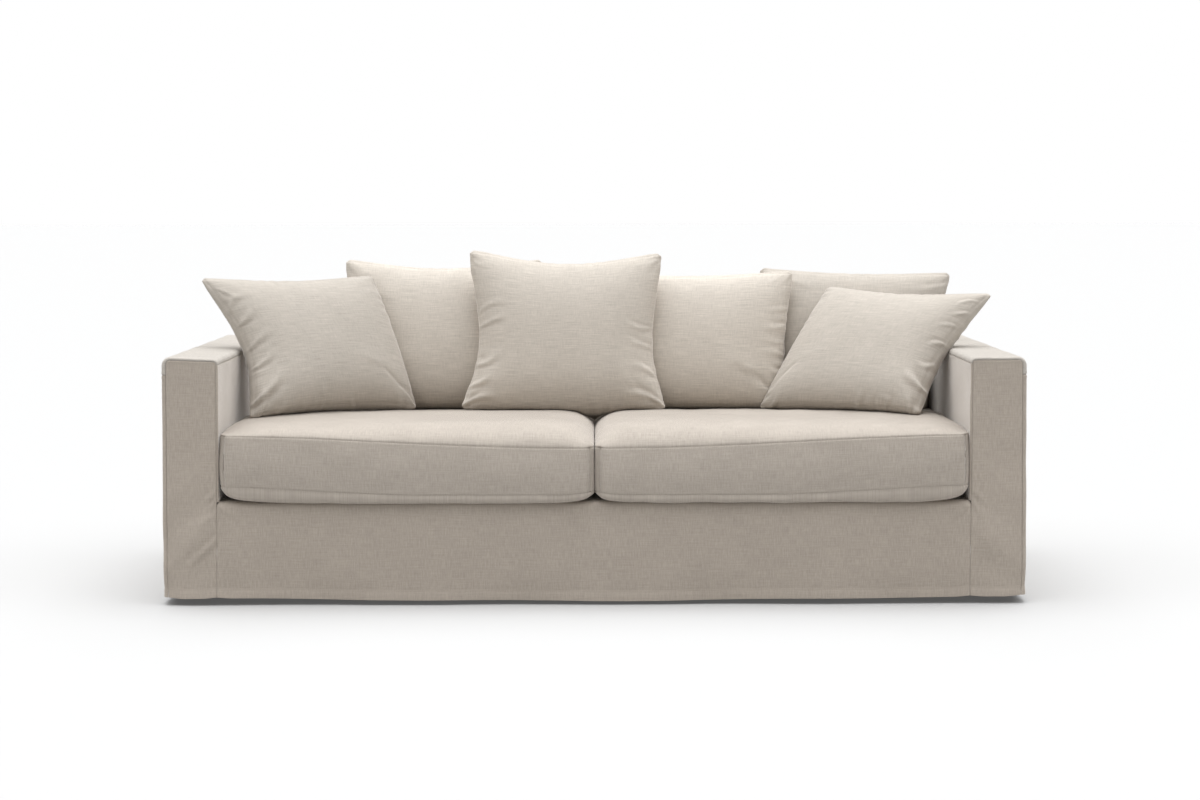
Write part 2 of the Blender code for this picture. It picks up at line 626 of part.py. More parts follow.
def boxed_cushion(side, collection, finish, supports):
    """A seat cushion: crowned top and bottom panels with a bulging band between their seams."""
    half_x = X_IN / 2
    half_y = SEAT_LENGTH / 2
    centre = (side * (X_IN + PINCH) / 2, Y_FRONT - SEAT_OVERHANG + half_y)
    cells_x, cells_y = SEAT_GRID

    def place(u, v, level):
        """u and v run from -1 to 1 across and along; level from 1 (top seam) to -1 (bottom seam)."""
        cut = SEAT_CORNER * beyond(CORNER_ACROSS, u) ** 2 * beyond(CORNER_ALONG, v) ** 2
        bulge = 1 - level * level
        x = centre[0] + half_x * u - math.copysign(cut, u)
        y = centre[1] + half_y * v - math.copysign(cut, v)
        y -= SEAT_FRONT_LEAN * (1 - level) / 2 * smooth(*SEAT_LIP_SPAN, v)
        if abs(u) == 1:
            x += math.copysign(SEAT_SIDE_BULGE * bulge, u)
        if abs(v) == 1:
            y += math.copysign(SEAT_FRONT_BULGE * bulge, v)
        return x, y

    def top(u, v):
        x, y = place(u, v, 1)
        back = smooth(*SEAT_FRONT_END, v)
        seam = front_top_seam(x) + (SEAT_TOP_SEAM - front_top_seam(x)) * back
        crest = SEAT_CREST + (SEAT_CREST_BACK - SEAT_CREST) * smooth(*SEAT_CREST_FALL, v)
        crown = ((1 - abs(u) ** SEAT_CROWN_SIDE) * (1 - abs(v) ** SEAT_CROWN_FRONT)) ** SEAT_CROWN_SOFTNESS
        return Vector((x, y, seam + (crest - seam) * crown))

    def low(u, v):
        x, y = place(u, v, -1)
        back = smooth(*SEAT_FRONT_END, v)
        seam = front_low_seam(x) + (SEAT_LOW_SEAM - front_low_seam(x)) * back
        power = SEAT_CROWN_UNDER if v < 0 else SEAT_CROWN_SIDE
        crown = math.sqrt((1 - abs(u) ** SEAT_CROWN_SIDE) * (1 - abs(v) ** power))
        y -= SEAT_FRONT_LIP * smooth(*SEAT_LIP_SPAN, v) * crown
        ground = Z_DECK - SEAT_DROOP * smooth(0.0, SEAT_FRONT_LEAN, Y_FRONT - y)
        return Vector((x, y, seam + (ground - seam) * crown))

    us = [math.sin(math.pi / 2 * a) for a in spread(-1.0, 1.0, cells_x)]
    vs = [math.sin(math.pi / 2 * a) for a in spread(-1.0, 1.0, cells_y)]
    us[0], us[-1], vs[0], vs[-1] = -1.0, 1.0, -1.0, 1.0
    vs.insert(1, SEAT_LIP_ROW)
    cells_y += 1
    points, faces = [], []
    wide = cells_x + 1
    for surface in (top, low):
        points += [surface(u, v) for v in vs for u in us]
    offset = wide * (cells_y + 1)
    for j in range(cells_y):
        for i in range(cells_x):
            a = j * wide + i
            faces += triangles((a, a + 1, a + wide + 1, a + wide))
            b = a + offset
            faces += triangles((b, b + wide, b + wide + 1, b + 1))
    ring = [(i, 0) for i in range(cells_x)] + [(cells_x, j) for j in range(cells_y)]
    ring += [(i, cells_y) for i in range(cells_x, 0, -1)] + [(0, j) for j in range(cells_y, 0, -1)]
    loops = [[j * wide + i for i, j in ring]]
    for row in range(1, SEAT_BAND_ROWS):
        level = 1 - 2 * row / SEAT_BAND_ROWS
        loop = []
        for i, j in ring:
            x, y = place(us[i], vs[j], level)
            upper, lower = top(us[i], vs[j]).z, low(us[i], vs[j]).z
            points.append(Vector((x, y, lower + (upper - lower) * (level + 1) / 2)))
            loop.append(len(points) - 1)
        loops.append(loop)
    loops.append([offset + j * wide + i for i, j in ring])
    for upper, lower in zip(loops, loops[1:]):
        for k in range(len(ring)):
            n = (k + 1) % len(ring)
            faces += triangles((upper[k], lower[k], lower[n], upper[n]))
    press(points, faces, supports)
    for p in points:
        if side * p.x < PINCH:
            p.x = side * PINCH
    closed_object(f"seat_cushion_{name_of(side)}", points, faces, collection, finish)
    return Support(points, faces)


def loose_cushion(row, collection, finish, supports):
    """A knife-edged cushion between its four corners: crowned, with its sides drawn in."""
    corners = [Vector(row[key]) for key in ("low_left", "low_right", "top_right", "top_left")]
    across = (corners[1] + corners[2] - corners[0] - corners[3]).normalized()
    along = (corners[2] + corners[3] - corners[0] - corners[1]).normalized()
    facing = across.cross(along).normalized()
    steps = [math.sin(math.pi / 2 * a) for a in spread(-1.0, 1.0, CUSHION_GRID)]
    steps[0], steps[-1] = -1.0, 1.0

    def seam_plane(u, v):
        across_pull = (1 - v * v) ** PULL_POWER * (1 - row["ears"] * v)
        u_in = u * (1 - (row["draw_left"] if u < 0 else row["draw_right"]) * across_pull)
        v_in = v * (1 - (row["draw_low"] if v < 0 else row["draw_top"]) * (1 - u * u) ** PULL_POWER)
        low = corners[0].lerp(corners[1], (u_in + 1) / 2)
        high = corners[3].lerp(corners[2], (u_in + 1) / 2)
        return low.lerp(high, (v_in + 1) / 2)

    points, faces, front, back = [], [], {}, {}
    for j, v in enumerate(steps):
        for i, u in enumerate(steps):
            middle = seam_plane(u, v)
            settled = v + BELLY * (1 - v * v)
            fullness = (1 - abs(u) ** EDGE_FULLNESS) * (1 - abs(settled) ** EDGE_FULLNESS)
            depth = row["thickness"] / 2 * math.sqrt(fullness)
            front[i, j] = len(points)
            points.append(middle + facing * depth)
            back[i, j] = front[i, j]
            if depth > 0:
                back[i, j] = len(points)
                points.append(middle - facing * depth)
    for j in range(CUSHION_GRID):
        for i in range(CUSHION_GRID):
            ring = ((i, j), (i + 1, j), (i + 1, j + 1), (i, j + 1))
            faces += triangles([front[key] for key in ring])
            faces += triangles([back[key] for key in ring[::-1]])
    pairs = [(front[key], back[key]) for key in front if front[key] != back[key]]
    press(points, faces, supports, pairs)
    closed_object(row["name"], points, faces, collection, finish)
    return Support(points, faces)


def surface_of(objects):
    """The outer faces of these objects as one surface."""
    points, faces = [], []
    for obj in objects:
        start = len(points)
        points += [v.co.copy() for v in obj.data.vertices]
        for face in obj.data.polygons:
            faces.append(tuple(start + k for k in face.vertices))
    return Support(points, faces)


def main():
    clear_scene()
    collection = bpy.data.collections.new("sofa_slipcover")
    bpy.context.scene.collection.children.link(collection)
    cover, seat, cushion = (make_finish(name) for name in FINISHES)
    for side in (-1, 1):
        arm_front(side, collection, cover)
        arm_outside(side, collection, cover)
        arm_top(side, collection, cover)
        arm_inside(side, collection, cover)
    back_outside(collection, cover)
    back_top(collection, cover)
    back_inside(collection, cover)
    front_skirt(collection, cover)
    deck(collection, cover)
    walls = [obj for obj in collection.objects if obj.name != "deck"]
    supports = [surface_of(walls), surface_of([collection.objects["deck"]])]
    seats = [boxed_cushion(side, collection, seat, supports) for side in (-1, 1)]
    supports += seats
    for row in LOOSE_CUSHIONS:
        supports.append(loose_cushion(row, collection, cushion, supports))


main()
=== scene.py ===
"""Slipcover set for a long sofa: a fitted body cover of cut panels, two boxed seat cushions,
three back cushions and three scatter cushions, all in washed linen.

Laid out as an add-on: sizes and colours are properties, and each group of pieces is an operator.
"""

import json
import math
from collections import namedtuple

import bmesh
import bpy
import numpy as np
from mathutils import Matrix, Vector
from mathutils.bvhtree import BVHTree

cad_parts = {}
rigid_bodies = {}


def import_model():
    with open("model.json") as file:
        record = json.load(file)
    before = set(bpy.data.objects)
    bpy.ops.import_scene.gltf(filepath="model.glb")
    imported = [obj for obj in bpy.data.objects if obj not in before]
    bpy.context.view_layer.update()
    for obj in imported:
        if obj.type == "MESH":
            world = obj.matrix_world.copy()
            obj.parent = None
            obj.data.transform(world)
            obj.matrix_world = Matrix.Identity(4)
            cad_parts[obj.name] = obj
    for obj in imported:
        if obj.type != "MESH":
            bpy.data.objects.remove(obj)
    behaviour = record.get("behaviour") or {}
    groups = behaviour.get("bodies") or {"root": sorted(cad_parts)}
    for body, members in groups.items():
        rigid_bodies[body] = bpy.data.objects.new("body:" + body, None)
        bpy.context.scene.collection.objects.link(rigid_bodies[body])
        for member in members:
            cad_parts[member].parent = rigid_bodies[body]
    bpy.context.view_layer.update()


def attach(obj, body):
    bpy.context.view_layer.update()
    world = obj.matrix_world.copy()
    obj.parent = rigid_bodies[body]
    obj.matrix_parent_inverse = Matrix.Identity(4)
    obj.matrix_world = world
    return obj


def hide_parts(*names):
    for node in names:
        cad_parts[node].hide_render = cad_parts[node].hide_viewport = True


bl_info = {
    "name": "Linen slipcover set",
    "version": (1, 0, 0),
    "blender": (4, 5, 0),
    "location": "View3D > Sidebar > Slipcover",
    "description": "Body cover, seat cushions, back cushions and scatter cushions for a long sofa",
    "category": "Object",
}

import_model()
BODY = "root"

# ---------------------------------------------------------------- sizes of the tailored shell

# Faces
X_OUT = 1.154           # middle to the outer face of an arm
X_IN = 1.004            # middle to the inner face of an arm
HALF_DEPTH = 0.475
Z_TOP = 0.661
Z_DECK = 0.270
Y_FRONT = -HALF_DEPTH
Y_BACK_INSIDE = 0.225
Z_SIDE_SEAM = 0.612

# Seams and rounded edges. An inset is how far within the face the seam of its edge lies
SEAM_GAP = 0.0005
HALF_GAP = SEAM_GAP / 2
EDGE_RADIUS = 0.009
SEAM_INSET = 0.012
TOP_INSET = 0.008
INNER_INSET = 0.005
TOP_RADIUS_OUT = 0.024
TOP_RADIUS_IN = 0.013
DECK_RADIUS = 0.012
Z_PANEL_TOP = Z_TOP - TOP_INSET
Z_OUTER_TURN = Z_TOP - TOP_RADIUS_OUT
Z_INNER_SEAM = Z_OUTER_TURN + (Z_PANEL_TOP - Z_OUTER_TURN) * 0.5
Z_INNER_TURN = Z_OUTER_TURN + (Z_PANEL_TOP - Z_OUTER_TURN) * math.sin(math.pi / 3)

# How far the cloth hangs away from the shell, and below or above which height
FLARE = 0.004
SIDE_SPLAY = 0.0075
SPLAY_HEIGHT = 0.62
FLARE_HEIGHT = 0.30
CORNER_ROUND = 0.055
HEM_HEIGHT = 0.25
HEM_LOW = 0.001
HEM_RISE = 0.0075
HEM_NOTCH = 0.003
HEM_CORNER_LIFT = 0.005
HEM_WAVE = 0.0012
CORNER_TUCK = 0.005
TUCK_HEIGHT = 0.12
SKIRT_WAVE = 0.004
ARM_FOLD = 0.003
ARM_SAG = 0.006
RIGHT_ARM_DROP = 0.004
BACK_SAG = 0.008

# Distances from a seam at which the cloth has a row of points, before the even spacing takes over
BESIDE_SEAM = (0.0, 0.0007, 0.0016, 0.0028, 0.0044, 0.0065, 0.0092, 0.0125)

# ---------------------------------------------------------------- properties


def size_property(name, description, default):
    return bpy.props.FloatProperty(name=name, description=description, default=default, unit="LENGTH")


def number_property(name, description, default):
    return bpy.props.FloatProperty(name=name, description=description, default=default)


def colour_property(name, description, default):
    return bpy.props.FloatVectorProperty(name=name, description=description, default=default,
                                         subtype="COLOR", size=3, min=0.0, max=1.0)


class CoverSizes(bpy.types.PropertyGroup):
    cloth: size_property("Cloth", "Thickness of the linen", 0.0016)
    point_spacing: size_property("Point spacing", "Distance between the points of a panel", 0.0075)
    seam_dip: size_property("Seam dip", "How far the cloth rolls in at a seam", 0.0009)
    seam_puff: size_property("Seam puff", "How far it stands up beside one", 0.0007)
    hem_width: size_property("Hem width", "Turned-up cloth at the hem", 0.028)
    stitch_pitch: size_property("Stitch pitch", "Distance between stitches in the hem", 0.0042)
    stitch_length: size_property("Stitch length", "Length of one stitch", 0.0030)
    thread: size_property("Thread", "Thickness of the sewing thread", 0.0006)


class CushionSizes(bpy.types.PropertyGroup):
    grid: bpy.props.IntProperty(
        name="Grid", description="Cells across a loose cushion before it is subdivided", default=60)
    pressure: number_property("Pressure", "Pressure of the filling in the simulation", 4.0)
    frames: bpy.props.IntProperty(
        name="Frames", description="Frames that the filling is given to settle", default=22)
    swell_limit: size_property("Swell limit", "Most that a point moves in the simulation", 0.022)
    contact_gap: size_property("Contact gap", "Clearance where cushions touch", 0.0010)


class LinenColours(bpy.types.PropertyGroup):
    cover: colour_property("Cover", "Colour of the body cover", (0.402, 0.353, 0.303))
    # The tops of the arms and back get a lighter, whiter copy of the cover colour: painted light where the
    # light from above falls on them
    bleached: colour_property("Bleached", "Colour of the tops of arms and back", (0.430, 0.400, 0.362))
    seat: colour_property("Seat", "Colour of the seat cushions", (0.393, 0.350, 0.305))
    cushion: colour_property("Cushion", "Colour of the back and scatter cushions", (0.522, 0.476, 0.420))
    thread_spacing: size_property("Thread spacing", "Distance between threads of the weave", 0.0011)


class StudioLook(bpy.types.PropertyGroup):
    floor_height: size_property("Floor", "Height of the floor under the hem", -0.009)
    overhead: number_property("Overhead light", "Strength of the wide soft lights overhead", 6.17)
    ambient: number_property("Ambient", "Strength of the light from all round", 0.332)
    floor_cover: number_property("Floor cover", "How much of the white behind the floor it hides", 0.92)


# ---------------------------------------------------------------- small helpers

TINY = 1e-12            # keeps a division by a length of nothing from failing
WAVE_SPREAD = (0.6, 1.5)        # how far the rates of ripples spread round the one asked for
WAVE_SCALE = 0.7        # keeps their sum between about -1 and 1
SHORT_STEP = 0.002      # spacing on a stretch too short for both seams' rows
TURN_STEPS = 9          # points round a quarter turn


def smooth(low, high, value):
    """0 below low, 1 above high, and an S-curve between."""
    share = np.clip((np.asarray(value, float) - low) / (high - low), 0.0, 1.0)
    return share * share * (3 - 2 * share)


def beyond(start, value):
    """0 up to start on either side of 0, rising to 1 at -1 and 1."""
    return np.maximum(0.0, np.abs(value) - start) / (1 - start)


def bell(value, width):
    """1 where the value is 0, falling away on both sides over about the width."""
    return np.exp(-(np.asarray(value, float) / width) ** 2)


def ripples(points, wavelength, seed, stretch=(1.0, 1.0, 1.0), waves=9):
    """Smooth seeded noise from -1 to 1: a sum of plane waves of about one length."""
    rng = np.random.default_rng(seed)
    total = np.zeros(points.shape[:-1])
    for _ in range(waves):
        way = rng.normal(size=3)
        way /= np.linalg.norm(way)
        rate = 2 * math.pi / wavelength * rng.uniform(*WAVE_SPREAD)
        total += np.sin((points / np.array(stretch)) @ way * rate + rng.uniform(0, 2 * math.pi))
    return total / math.sqrt(waves) * WAVE_SCALE


def spaced(length, step, seam_start=True, seam_end=True):
    """Distances from 0 to length, close together beside a seam."""
    start = list(BESIDE_SEAM) if seam_start else [0.0]
    end = [length - d for d in BESIDE_SEAM][::-1] if seam_end else [length]
    room = end[0] - start[-1]
    if room <= step * 0.5:
        return np.linspace(0.0, length, max(4, round(length / SHORT_STEP)))
    count = max(1, math.ceil(room / step))
    middle = [start[-1] + room * k / count for k in range(1, count)]
    return np.array(start + middle + end)


def arc(centre, radius, start, end, steps=TURN_STEPS):
    """Points of a quarter turn, angles in degrees."""
    angles = np.radians(np.linspace(start, end, steps))
    return [(centre[0] + radius * math.cos(a), centre[1] + radius * math.sin(a)) for a in angles]


def along(path, step, seam_start=True, seam_end=True):
    """Points at spaced distances along a path of 2 or more columns. The first two set the distance."""
    path = np.array(path, float)
    steps = np.linalg.norm(np.diff(path[:, :2], axis=0), axis=1)
    reach = np.concatenate([[0.0], np.cumsum(steps)])
    places = spaced(reach[-1], step, seam_start, seam_end)
    return np.stack([np.interp(places, reach, path[:, k]) for k in range(path.shape[1])], axis=1)


# ---------------------------------------------------------------- how the cloth hangs

HEM_FRONT_END = (-0.40, -0.30)  # the front's hem turns into the side's over this stretch of y
HEM_RISE_SPAN = (0.15, 1.0)     # it rises over this distance from the middle
HEM_NOTCH_WIDTH = 0.02
HEM_WAVE_RATE = (9.0, 7.0)      # radians a metre, in x and in y
HEM_WAVE_START = 0.9
SIDE_WAVE_RATE = 20.0
SKIRT_WAVE_RATE = 11.0
SKIRT_WAVE_START = 0.7
ON_FRONT = (0.40, 0.47)         # distances from the middle in which the front begins
ARM_FOLD_SIDE = (-0.01, 0.05)   # the folds fade in over this distance from the inner seam
ARM_FOLD_START = (0.02, 0.10)   # heights
ARM_FOLD_END = (0.20, 0.34)
ARM_FOLD_RIGHT = 0.6            # the right arm's folds, as a share of the left one's
ARM_FOLD_RATE = (38.0, 30.0)
BACK_SAG_SPAN = (1.0, 4.0)      # in arm widths from the outer face
SAG_FLOOR = 0.50


def hem_height(x, y):
    """Height of the hem over the ground at places round the sofa."""
    front = 1 - smooth(*HEM_FRONT_END, y)
    out = np.abs(x)
    rise = HEM_RISE * (front * smooth(*HEM_RISE_SPAN, out) + (1 - front))
    notch = HEM_NOTCH * front * bell(out - X_IN - INNER_INSET, HEM_NOTCH_WIDTH)
    wave = HEM_WAVE * np.sin(HEM_WAVE_RATE[0] * x + HEM_WAVE_RATE[1] * y + HEM_WAVE_START)
    return HEM_LOW + HEM_WAVE + rise + notch + wave


def drape(points):
    """Where points of the tailored shell hang once the cover is on."""
    x, y, z = points[..., 0], points[..., 1], points[..., 2]
    low = np.maximum(0.0, 1 - z / FLARE_HEIGHT) ** 2
    across = np.clip(1 - (X_OUT - np.abs(x)) / CORNER_ROUND, 0, 1)
    deep = np.clip(1 - (HALF_DEPTH - np.abs(y)) / CORNER_ROUND, 0, 1)
    corner = across * deep
    inward = CORNER_TUCK * corner * np.maximum(0.0, 1 - z / TUCK_HEIGHT) ** 2
    side_wave = np.sin(SIDE_WAVE_RATE * (y + HALF_DEPTH)) * smooth(X_IN, X_OUT, np.abs(x))
    splay = SIDE_SPLAY * np.maximum(0.0, 1 - z / SPLAY_HEIGHT)
    splay = splay * np.where(x < 0, 1.0, smooth(X_IN, X_OUT, x))
    out_x = splay + SKIRT_WAVE * low * side_wave
    out_y = FLARE * low + SKIRT_WAVE * low * np.sin(SKIRT_WAVE_RATE * x + SKIRT_WAVE_START)
    new_x = x * (1 + out_x / X_OUT) - np.copysign(inward, x)
    new_y = y * (1 + out_y / HALF_DEPTH) - np.copysign(inward, y)
    lift = hem_height(x, y) + HEM_CORNER_LIFT * corner
    new_z = z + lift * np.maximum(0.0, 1 - z / HEM_HEIGHT) ** 2
    on_arm = smooth(*ON_FRONT, -y) * smooth(*ARM_FOLD_SIDE, np.abs(x) - X_IN)
    folds = smooth(*ARM_FOLD_START, z) * (1 - smooth(*ARM_FOLD_END, z))
    folds = folds * np.where(x < 0, 1.0, ARM_FOLD_RIGHT)
    fold_wave = np.sin(ARM_FOLD_RATE[0] * np.abs(x) + ARM_FOLD_RATE[1] * z)
    new_y = new_y - ARM_FOLD * on_arm * folds * fold_wave
    fall = (X_OUT - np.abs(x)) / (X_OUT - X_IN)
    sag = ARM_SAG * np.minimum(1.0, fall) + (BACK_SAG - ARM_SAG) * smooth(*BACK_SAG_SPAN, fall)
    sag = sag + RIGHT_ARM_DROP * smooth(X_IN, X_OUT, x)
    new_z = new_z - sag * smooth(SAG_FLOOR, Z_TOP, z)
    return np.stack([new_x, new_y, new_z], axis=-1)


# A crease: from (x0, z0) to (x1, z1) in its own plane, with a half width, a height above the cloth, and
# how far its middle bends sideways
Crease = namedtuple("Crease", "x0 z0 x1 z1 width height bend", defaults=(0.0,))

FRONT_CREASES = [
    # the left arm, drawn down and out from where the skirt joins it
    Crease(-1.010, 0.172, -1.104, 0.070, 0.010, 0.0044),
    Crease(-1.012, 0.240, -1.080, 0.190, 0.012, 0.0024),
    Crease(-1.030, 0.110, -1.125, 0.030, 0.016, 0.0018),
    Crease(-1.011, 0.300, -1.046, 0.268, 0.005, 0.0042),
    Crease(-1.011, 0.276, -1.040, 0.240, 0.005, 0.0036),
    # the right arm
    Crease(1.011, 0.298, 1.056, 0.256, 0.006, 0.0038),
    Crease(1.011, 0.268, 1.050, 0.222, 0.007, 0.0026),
    Crease(1.030, 0.180, 1.120, 0.090, 0.018, 0.0014),
    # the skirt, drawn towards its upper corners
    Crease(-1.002, 0.256, -0.952, 0.226, 0.006, 0.0040),
    Crease(-1.003, 0.240, -0.972, 0.196, 0.005, 0.0030),
    Crease(1.002, 0.256, 0.950, 0.224, 0.007, 0.0040),
    Crease(1.003, 0.238, 0.970, 0.192, 0.006, 0.0032),
    Crease(0.945, 0.085, 0.950, 0.012, 0.007, 0.0026),
    Crease(0.918, 0.060, 0.921, 0.010, 0.008, 0.0018),
    Crease(-0.930, 0.070, -0.932, 0.010, 0.009, 0.0014),
]

CREASE_START = 0.6      # width at its root, as a share of its half width
CREASE_SPREAD = 0.8     # and how much wider it is at its end
CREASE_RISE = (-0.15, 0.12)     # shares of its length over which it rises, and fades out again
CREASE_FADE = (0.45, 1.15)
TROUGH_DEPTH = 0.45     # the trough on one side of the ridge, as shares of its height and width
TROUGH_PLACE = 1.5
TROUGH_WIDTH = 0.9
SHOULDER_DEPTH = 0.2    # and the shallow hollow that it stands in
SHOULDER_WIDTH = 2.6


def crease_height(x, z, creases):
    """Height of the cloth over its creases, each a rounded ridge that fades out at its ends."""
    total = np.zeros(np.shape(x))
    for crease in creases:
        run_x, run_z = crease.x1 - crease.x0, crease.z1 - crease.z0
        reach = math.hypot(run_x, run_z)
        ux, uz = run_x / reach, run_z / reach
        t = ((x - crease.x0) * ux + (z - crease.z0) * uz) / reach
        side = (x - crease.x0) * uz - (z - crease.z0) * ux + 4 * t * (1 - t) * crease.bend
        width = crease.width * (CREASE_START + CREASE_SPREAD * np.clip(t, 0, 1))
        fade = smooth(*CREASE_RISE, t) * (1 - smooth(*CREASE_FADE, t))
        trough = TROUGH_DEPTH * bell(side - TROUGH_PLACE * width, TROUGH_WIDTH * width)
        profile = bell(side, width) - trough - SHOULDER_DEPTH * bell(side, SHOULDER_WIDTH * width)
        total = total + crease.height * fade * profile
    return total


SLACK_HEIGHTS = (0.05, 0.42)    # the cloth hangs slacker below these heights
ON_FLAT_FACE = (0.455, 0.472)   # distances from the middle at which each face begins
ON_SIDE_FACE = (1.13, 1.15)
SIDE_FACE_START = (-0.46, -0.40)
ON_TOP_FACE = (0.64, 0.65)
# Where, height, wavelength, seed, and how much longer the waves run upright than across
SLACK = (("all", 0.0007, 0.16, 11, 1), ("low", 0.0010, 0.22, 12, 2.5), ("side", 0.0030, 0.15, 13, 4.0),
         ("back", 0.0032, 0.17, 14, 4.5), ("top", 0.0006, 0.07, 15, 1))


def panel_relief(points):
    """Slack in the cloth of the body cover, as a height over the tailored shell."""
    x, y, z = points[..., 0], points[..., 1], points[..., 2]
    low = 1 - smooth(*SLACK_HEIGHTS, z)
    shares = {
        "all": 1.0,
        "low": low,
        "side": smooth(*ON_SIDE_FACE, np.abs(x)) * smooth(*SIDE_FACE_START, y) * low,
        "back": smooth(*ON_FLAT_FACE, y) * low,
        "top": smooth(*ON_TOP_FACE, z),
    }
    relief = smooth(*ON_FLAT_FACE, -y) * crease_height(x, z, FRONT_CREASES)
    for place, height, wavelength, seed, upright in SLACK:
        relief = relief + height * shares[place] * ripples(points, wavelength, seed, (1, 1, upright))
    return relief


# ---------------------------------------------------------------- making panels


def grid_normals(points, outward):
    """Unit normals of a grid of points, turned so that on the whole they point outward."""
    across = np.gradient(points, axis=1)
    down = np.gradient(points, axis=0)
    normals = np.cross(across, down)
    normals /= np.maximum(np.linalg.norm(normals, axis=-1, keepdims=True), TINY)
    if (normals.mean(axis=(0, 1)) @ np.array(outward, float)) < 0:
        normals = -normals
    return normals


def border_distances(points):
    """Distance of each point from the grid's first and last column and first and last row."""
    across = np.linalg.norm(np.diff(points, axis=1), axis=-1)
    down = np.linalg.norm(np.diff(points, axis=0), axis=-1)
    from_first = np.concatenate([np.zeros((points.shape[0], 1)), np.cumsum(across, axis=1)], axis=1)
    from_top = np.concatenate([np.zeros((1, points.shape[1])), np.cumsum(down, axis=0)], axis=0)
    return {"first": from_first, "last": from_first[:, -1:] - from_first,
            "top": from_top, "bottom": from_top[-1:, :] - from_top}


SEAM_DIP_WIDTH = 0.0016
SEAM_PUFF_PLACE = 0.0055        # distance of the fullest place from the seam
SEAM_PUFF_WIDTH = 0.0040
SOFT_SEAM = 0.35                # a seam that isn't topstitched, as a share of one that is
HEM_PROUD = 0.0008
HEM_STEP = (-0.001, 0.003)      # round the top of the hem
HEM_FLARE = 0.0022
STITCH_DIP = 0.0015
STITCH_DIP_WIDTH = 0.0022


def seam_relief(distance, sizes, share=1.0):
    """The cloth rolls in at a seam and stands up a little beside it."""
    dip = -sizes.seam_dip * bell(distance, SEAM_DIP_WIDTH)
    return share * (dip + sizes.seam_puff * bell(distance - SEAM_PUFF_PLACE, SEAM_PUFF_WIDTH))


def hem_relief(distance, sizes):
    """A turned hem stands a cloth's thickness proud below its line of stitches."""
    above = distance - sizes.hem_width
    turned = HEM_PROUD * (1 - smooth(*HEM_STEP, above))
    flare = HEM_FLARE * np.clip(1 - distance / sizes.hem_width, 0, 1)
    return turned + flare - STITCH_DIP * bell(above, STITCH_DIP_WIDTH)


JOINED = 0.0003         # points of neighbouring patches closer than this are one


def add_patch(bm, uv_layer, patch, outward, sizes):
    """Hang a patch's tailored points, add the relief of the cloth, and make its faces."""
    tailored = patch["points"]
    hung = drape(tailored)
    normals = grid_normals(hung, patch.get("outward", outward))
    distance = border_distances(tailored)
    relief = panel_relief(tailored)
    for border in patch["seams"]:
        relief = relief + seam_relief(distance[border], sizes)
    for border in patch.get("soft_seams", ()):
        relief = relief + seam_relief(distance[border], sizes, SOFT_SEAM)
    for border in patch.get("hems", ()):
        relief = relief + hem_relief(distance[border], sizes)
    hung = hung + normals * relief[..., None]
    u = distance["first"] + patch.get("u_start", 0.0)
    v = distance["top"] + patch.get("v_start", 0.0)
    rows, columns = hung.shape[:2]
    corners = [[bm.verts.new(hung[i, j]) for j in range(columns)] for i in range(rows)]
    turned = np.cross(hung[0, 1] - hung[0, 0], hung[1, 0] - hung[0, 0]) @ normals[0, 0] < 0
    for i in range(rows - 1):
        for j in range(columns - 1):
            ring = [(i, j), (i, j + 1), (i + 1, j + 1), (i + 1, j)]
            if turned:
                ring = ring[::-1]
            face = bm.faces.new([corners[a][b] for a, b in ring])
            face.smooth = True
            for loop, key in zip(face.loops, ring):
                loop[uv_layer].uv = (u[key], v[key])


def cloth_panel(name, patches, outward, sizes, material):
    """One cut panel from patches of tailored points. Each patch names its sewn and hemmed borders."""
    bm = bmesh.new()
    uv_layer = bm.loops.layers.uv.new("weave")
    for patch in patches:
        add_patch(bm, uv_layer, patch, outward, sizes)
    bmesh.ops.remove_doubles(bm, verts=bm.verts[:], dist=JOINED)
    mesh = bpy.data.meshes.new(name)
    bm.to_mesh(mesh)
    bm.free()
    mesh.materials.append(material)
    piece = bpy.data.objects.new(name, mesh)
    bpy.context.scene.collection.objects.link(piece)
    wall = piece.modifiers.new("thickness", "SOLIDIFY")
    wall.thickness = sizes.cloth
    wall.offset = -1.0
    wall.use_even_offset = True
    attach(piece, BODY)
    return piece


BACK_TURN_STEP = 0.004  # spacing down the back top's inner edge
DECK_ROWS = 70
DECK_UNDER = 0.001      # the deck reaches this far under the panels round it


def outer_side(steps=TURN_STEPS):
    """Half of a top band from its outer side seam up and over: body x, body z, seam x, seam z."""
    rows = [(X_OUT, Z_SIDE_SEAM + HALF_GAP, X_OUT - SEAM_INSET, Z_SIDE_SEAM + HALF_GAP)]
    for angle in np.linspace(0, math.pi / 2, steps):
        turn, climb = 1 - math.cos(angle), math.sin(angle)
        rows.append((X_OUT - TOP_RADIUS_OUT * turn, Z_TOP - TOP_RADIUS_OUT * (1 - climb),
                     X_OUT - SEAM_INSET - (TOP_RADIUS_OUT - SEAM_INSET) * turn,
                     Z_OUTER_TURN + (Z_PANEL_TOP - Z_OUTER_TURN) * climb))
    return rows


def inner_side(steps=TURN_STEPS):
    """The other half of an arm's top band, from its inner side seam up and over."""
    rows = [(X_IN, Z_INNER_SEAM + HALF_GAP, X_IN + INNER_INSET, Z_INNER_SEAM + HALF_GAP)]
    for angle in np.linspace(0, math.pi / 2, steps):
        turn, climb = 1 - math.cos(angle), math.sin(angle)
        rows.append((X_IN + TOP_RADIUS_IN * turn, Z_TOP - TOP_RADIUS_IN * (1 - climb),
                     X_IN + INNER_INSET + (TOP_RADIUS_IN - INNER_INSET) * turn,
                     Z_INNER_TURN + (Z_PANEL_TOP - Z_INNER_TURN) * turn))
    return rows


def edge_at(section, z):
    """x of a front panel's side at heights z."""
    seam = np.array(section)[:, 2:]
    return np.interp(z, seam[:, 1], seam[:, 0], left=seam[0, 0])


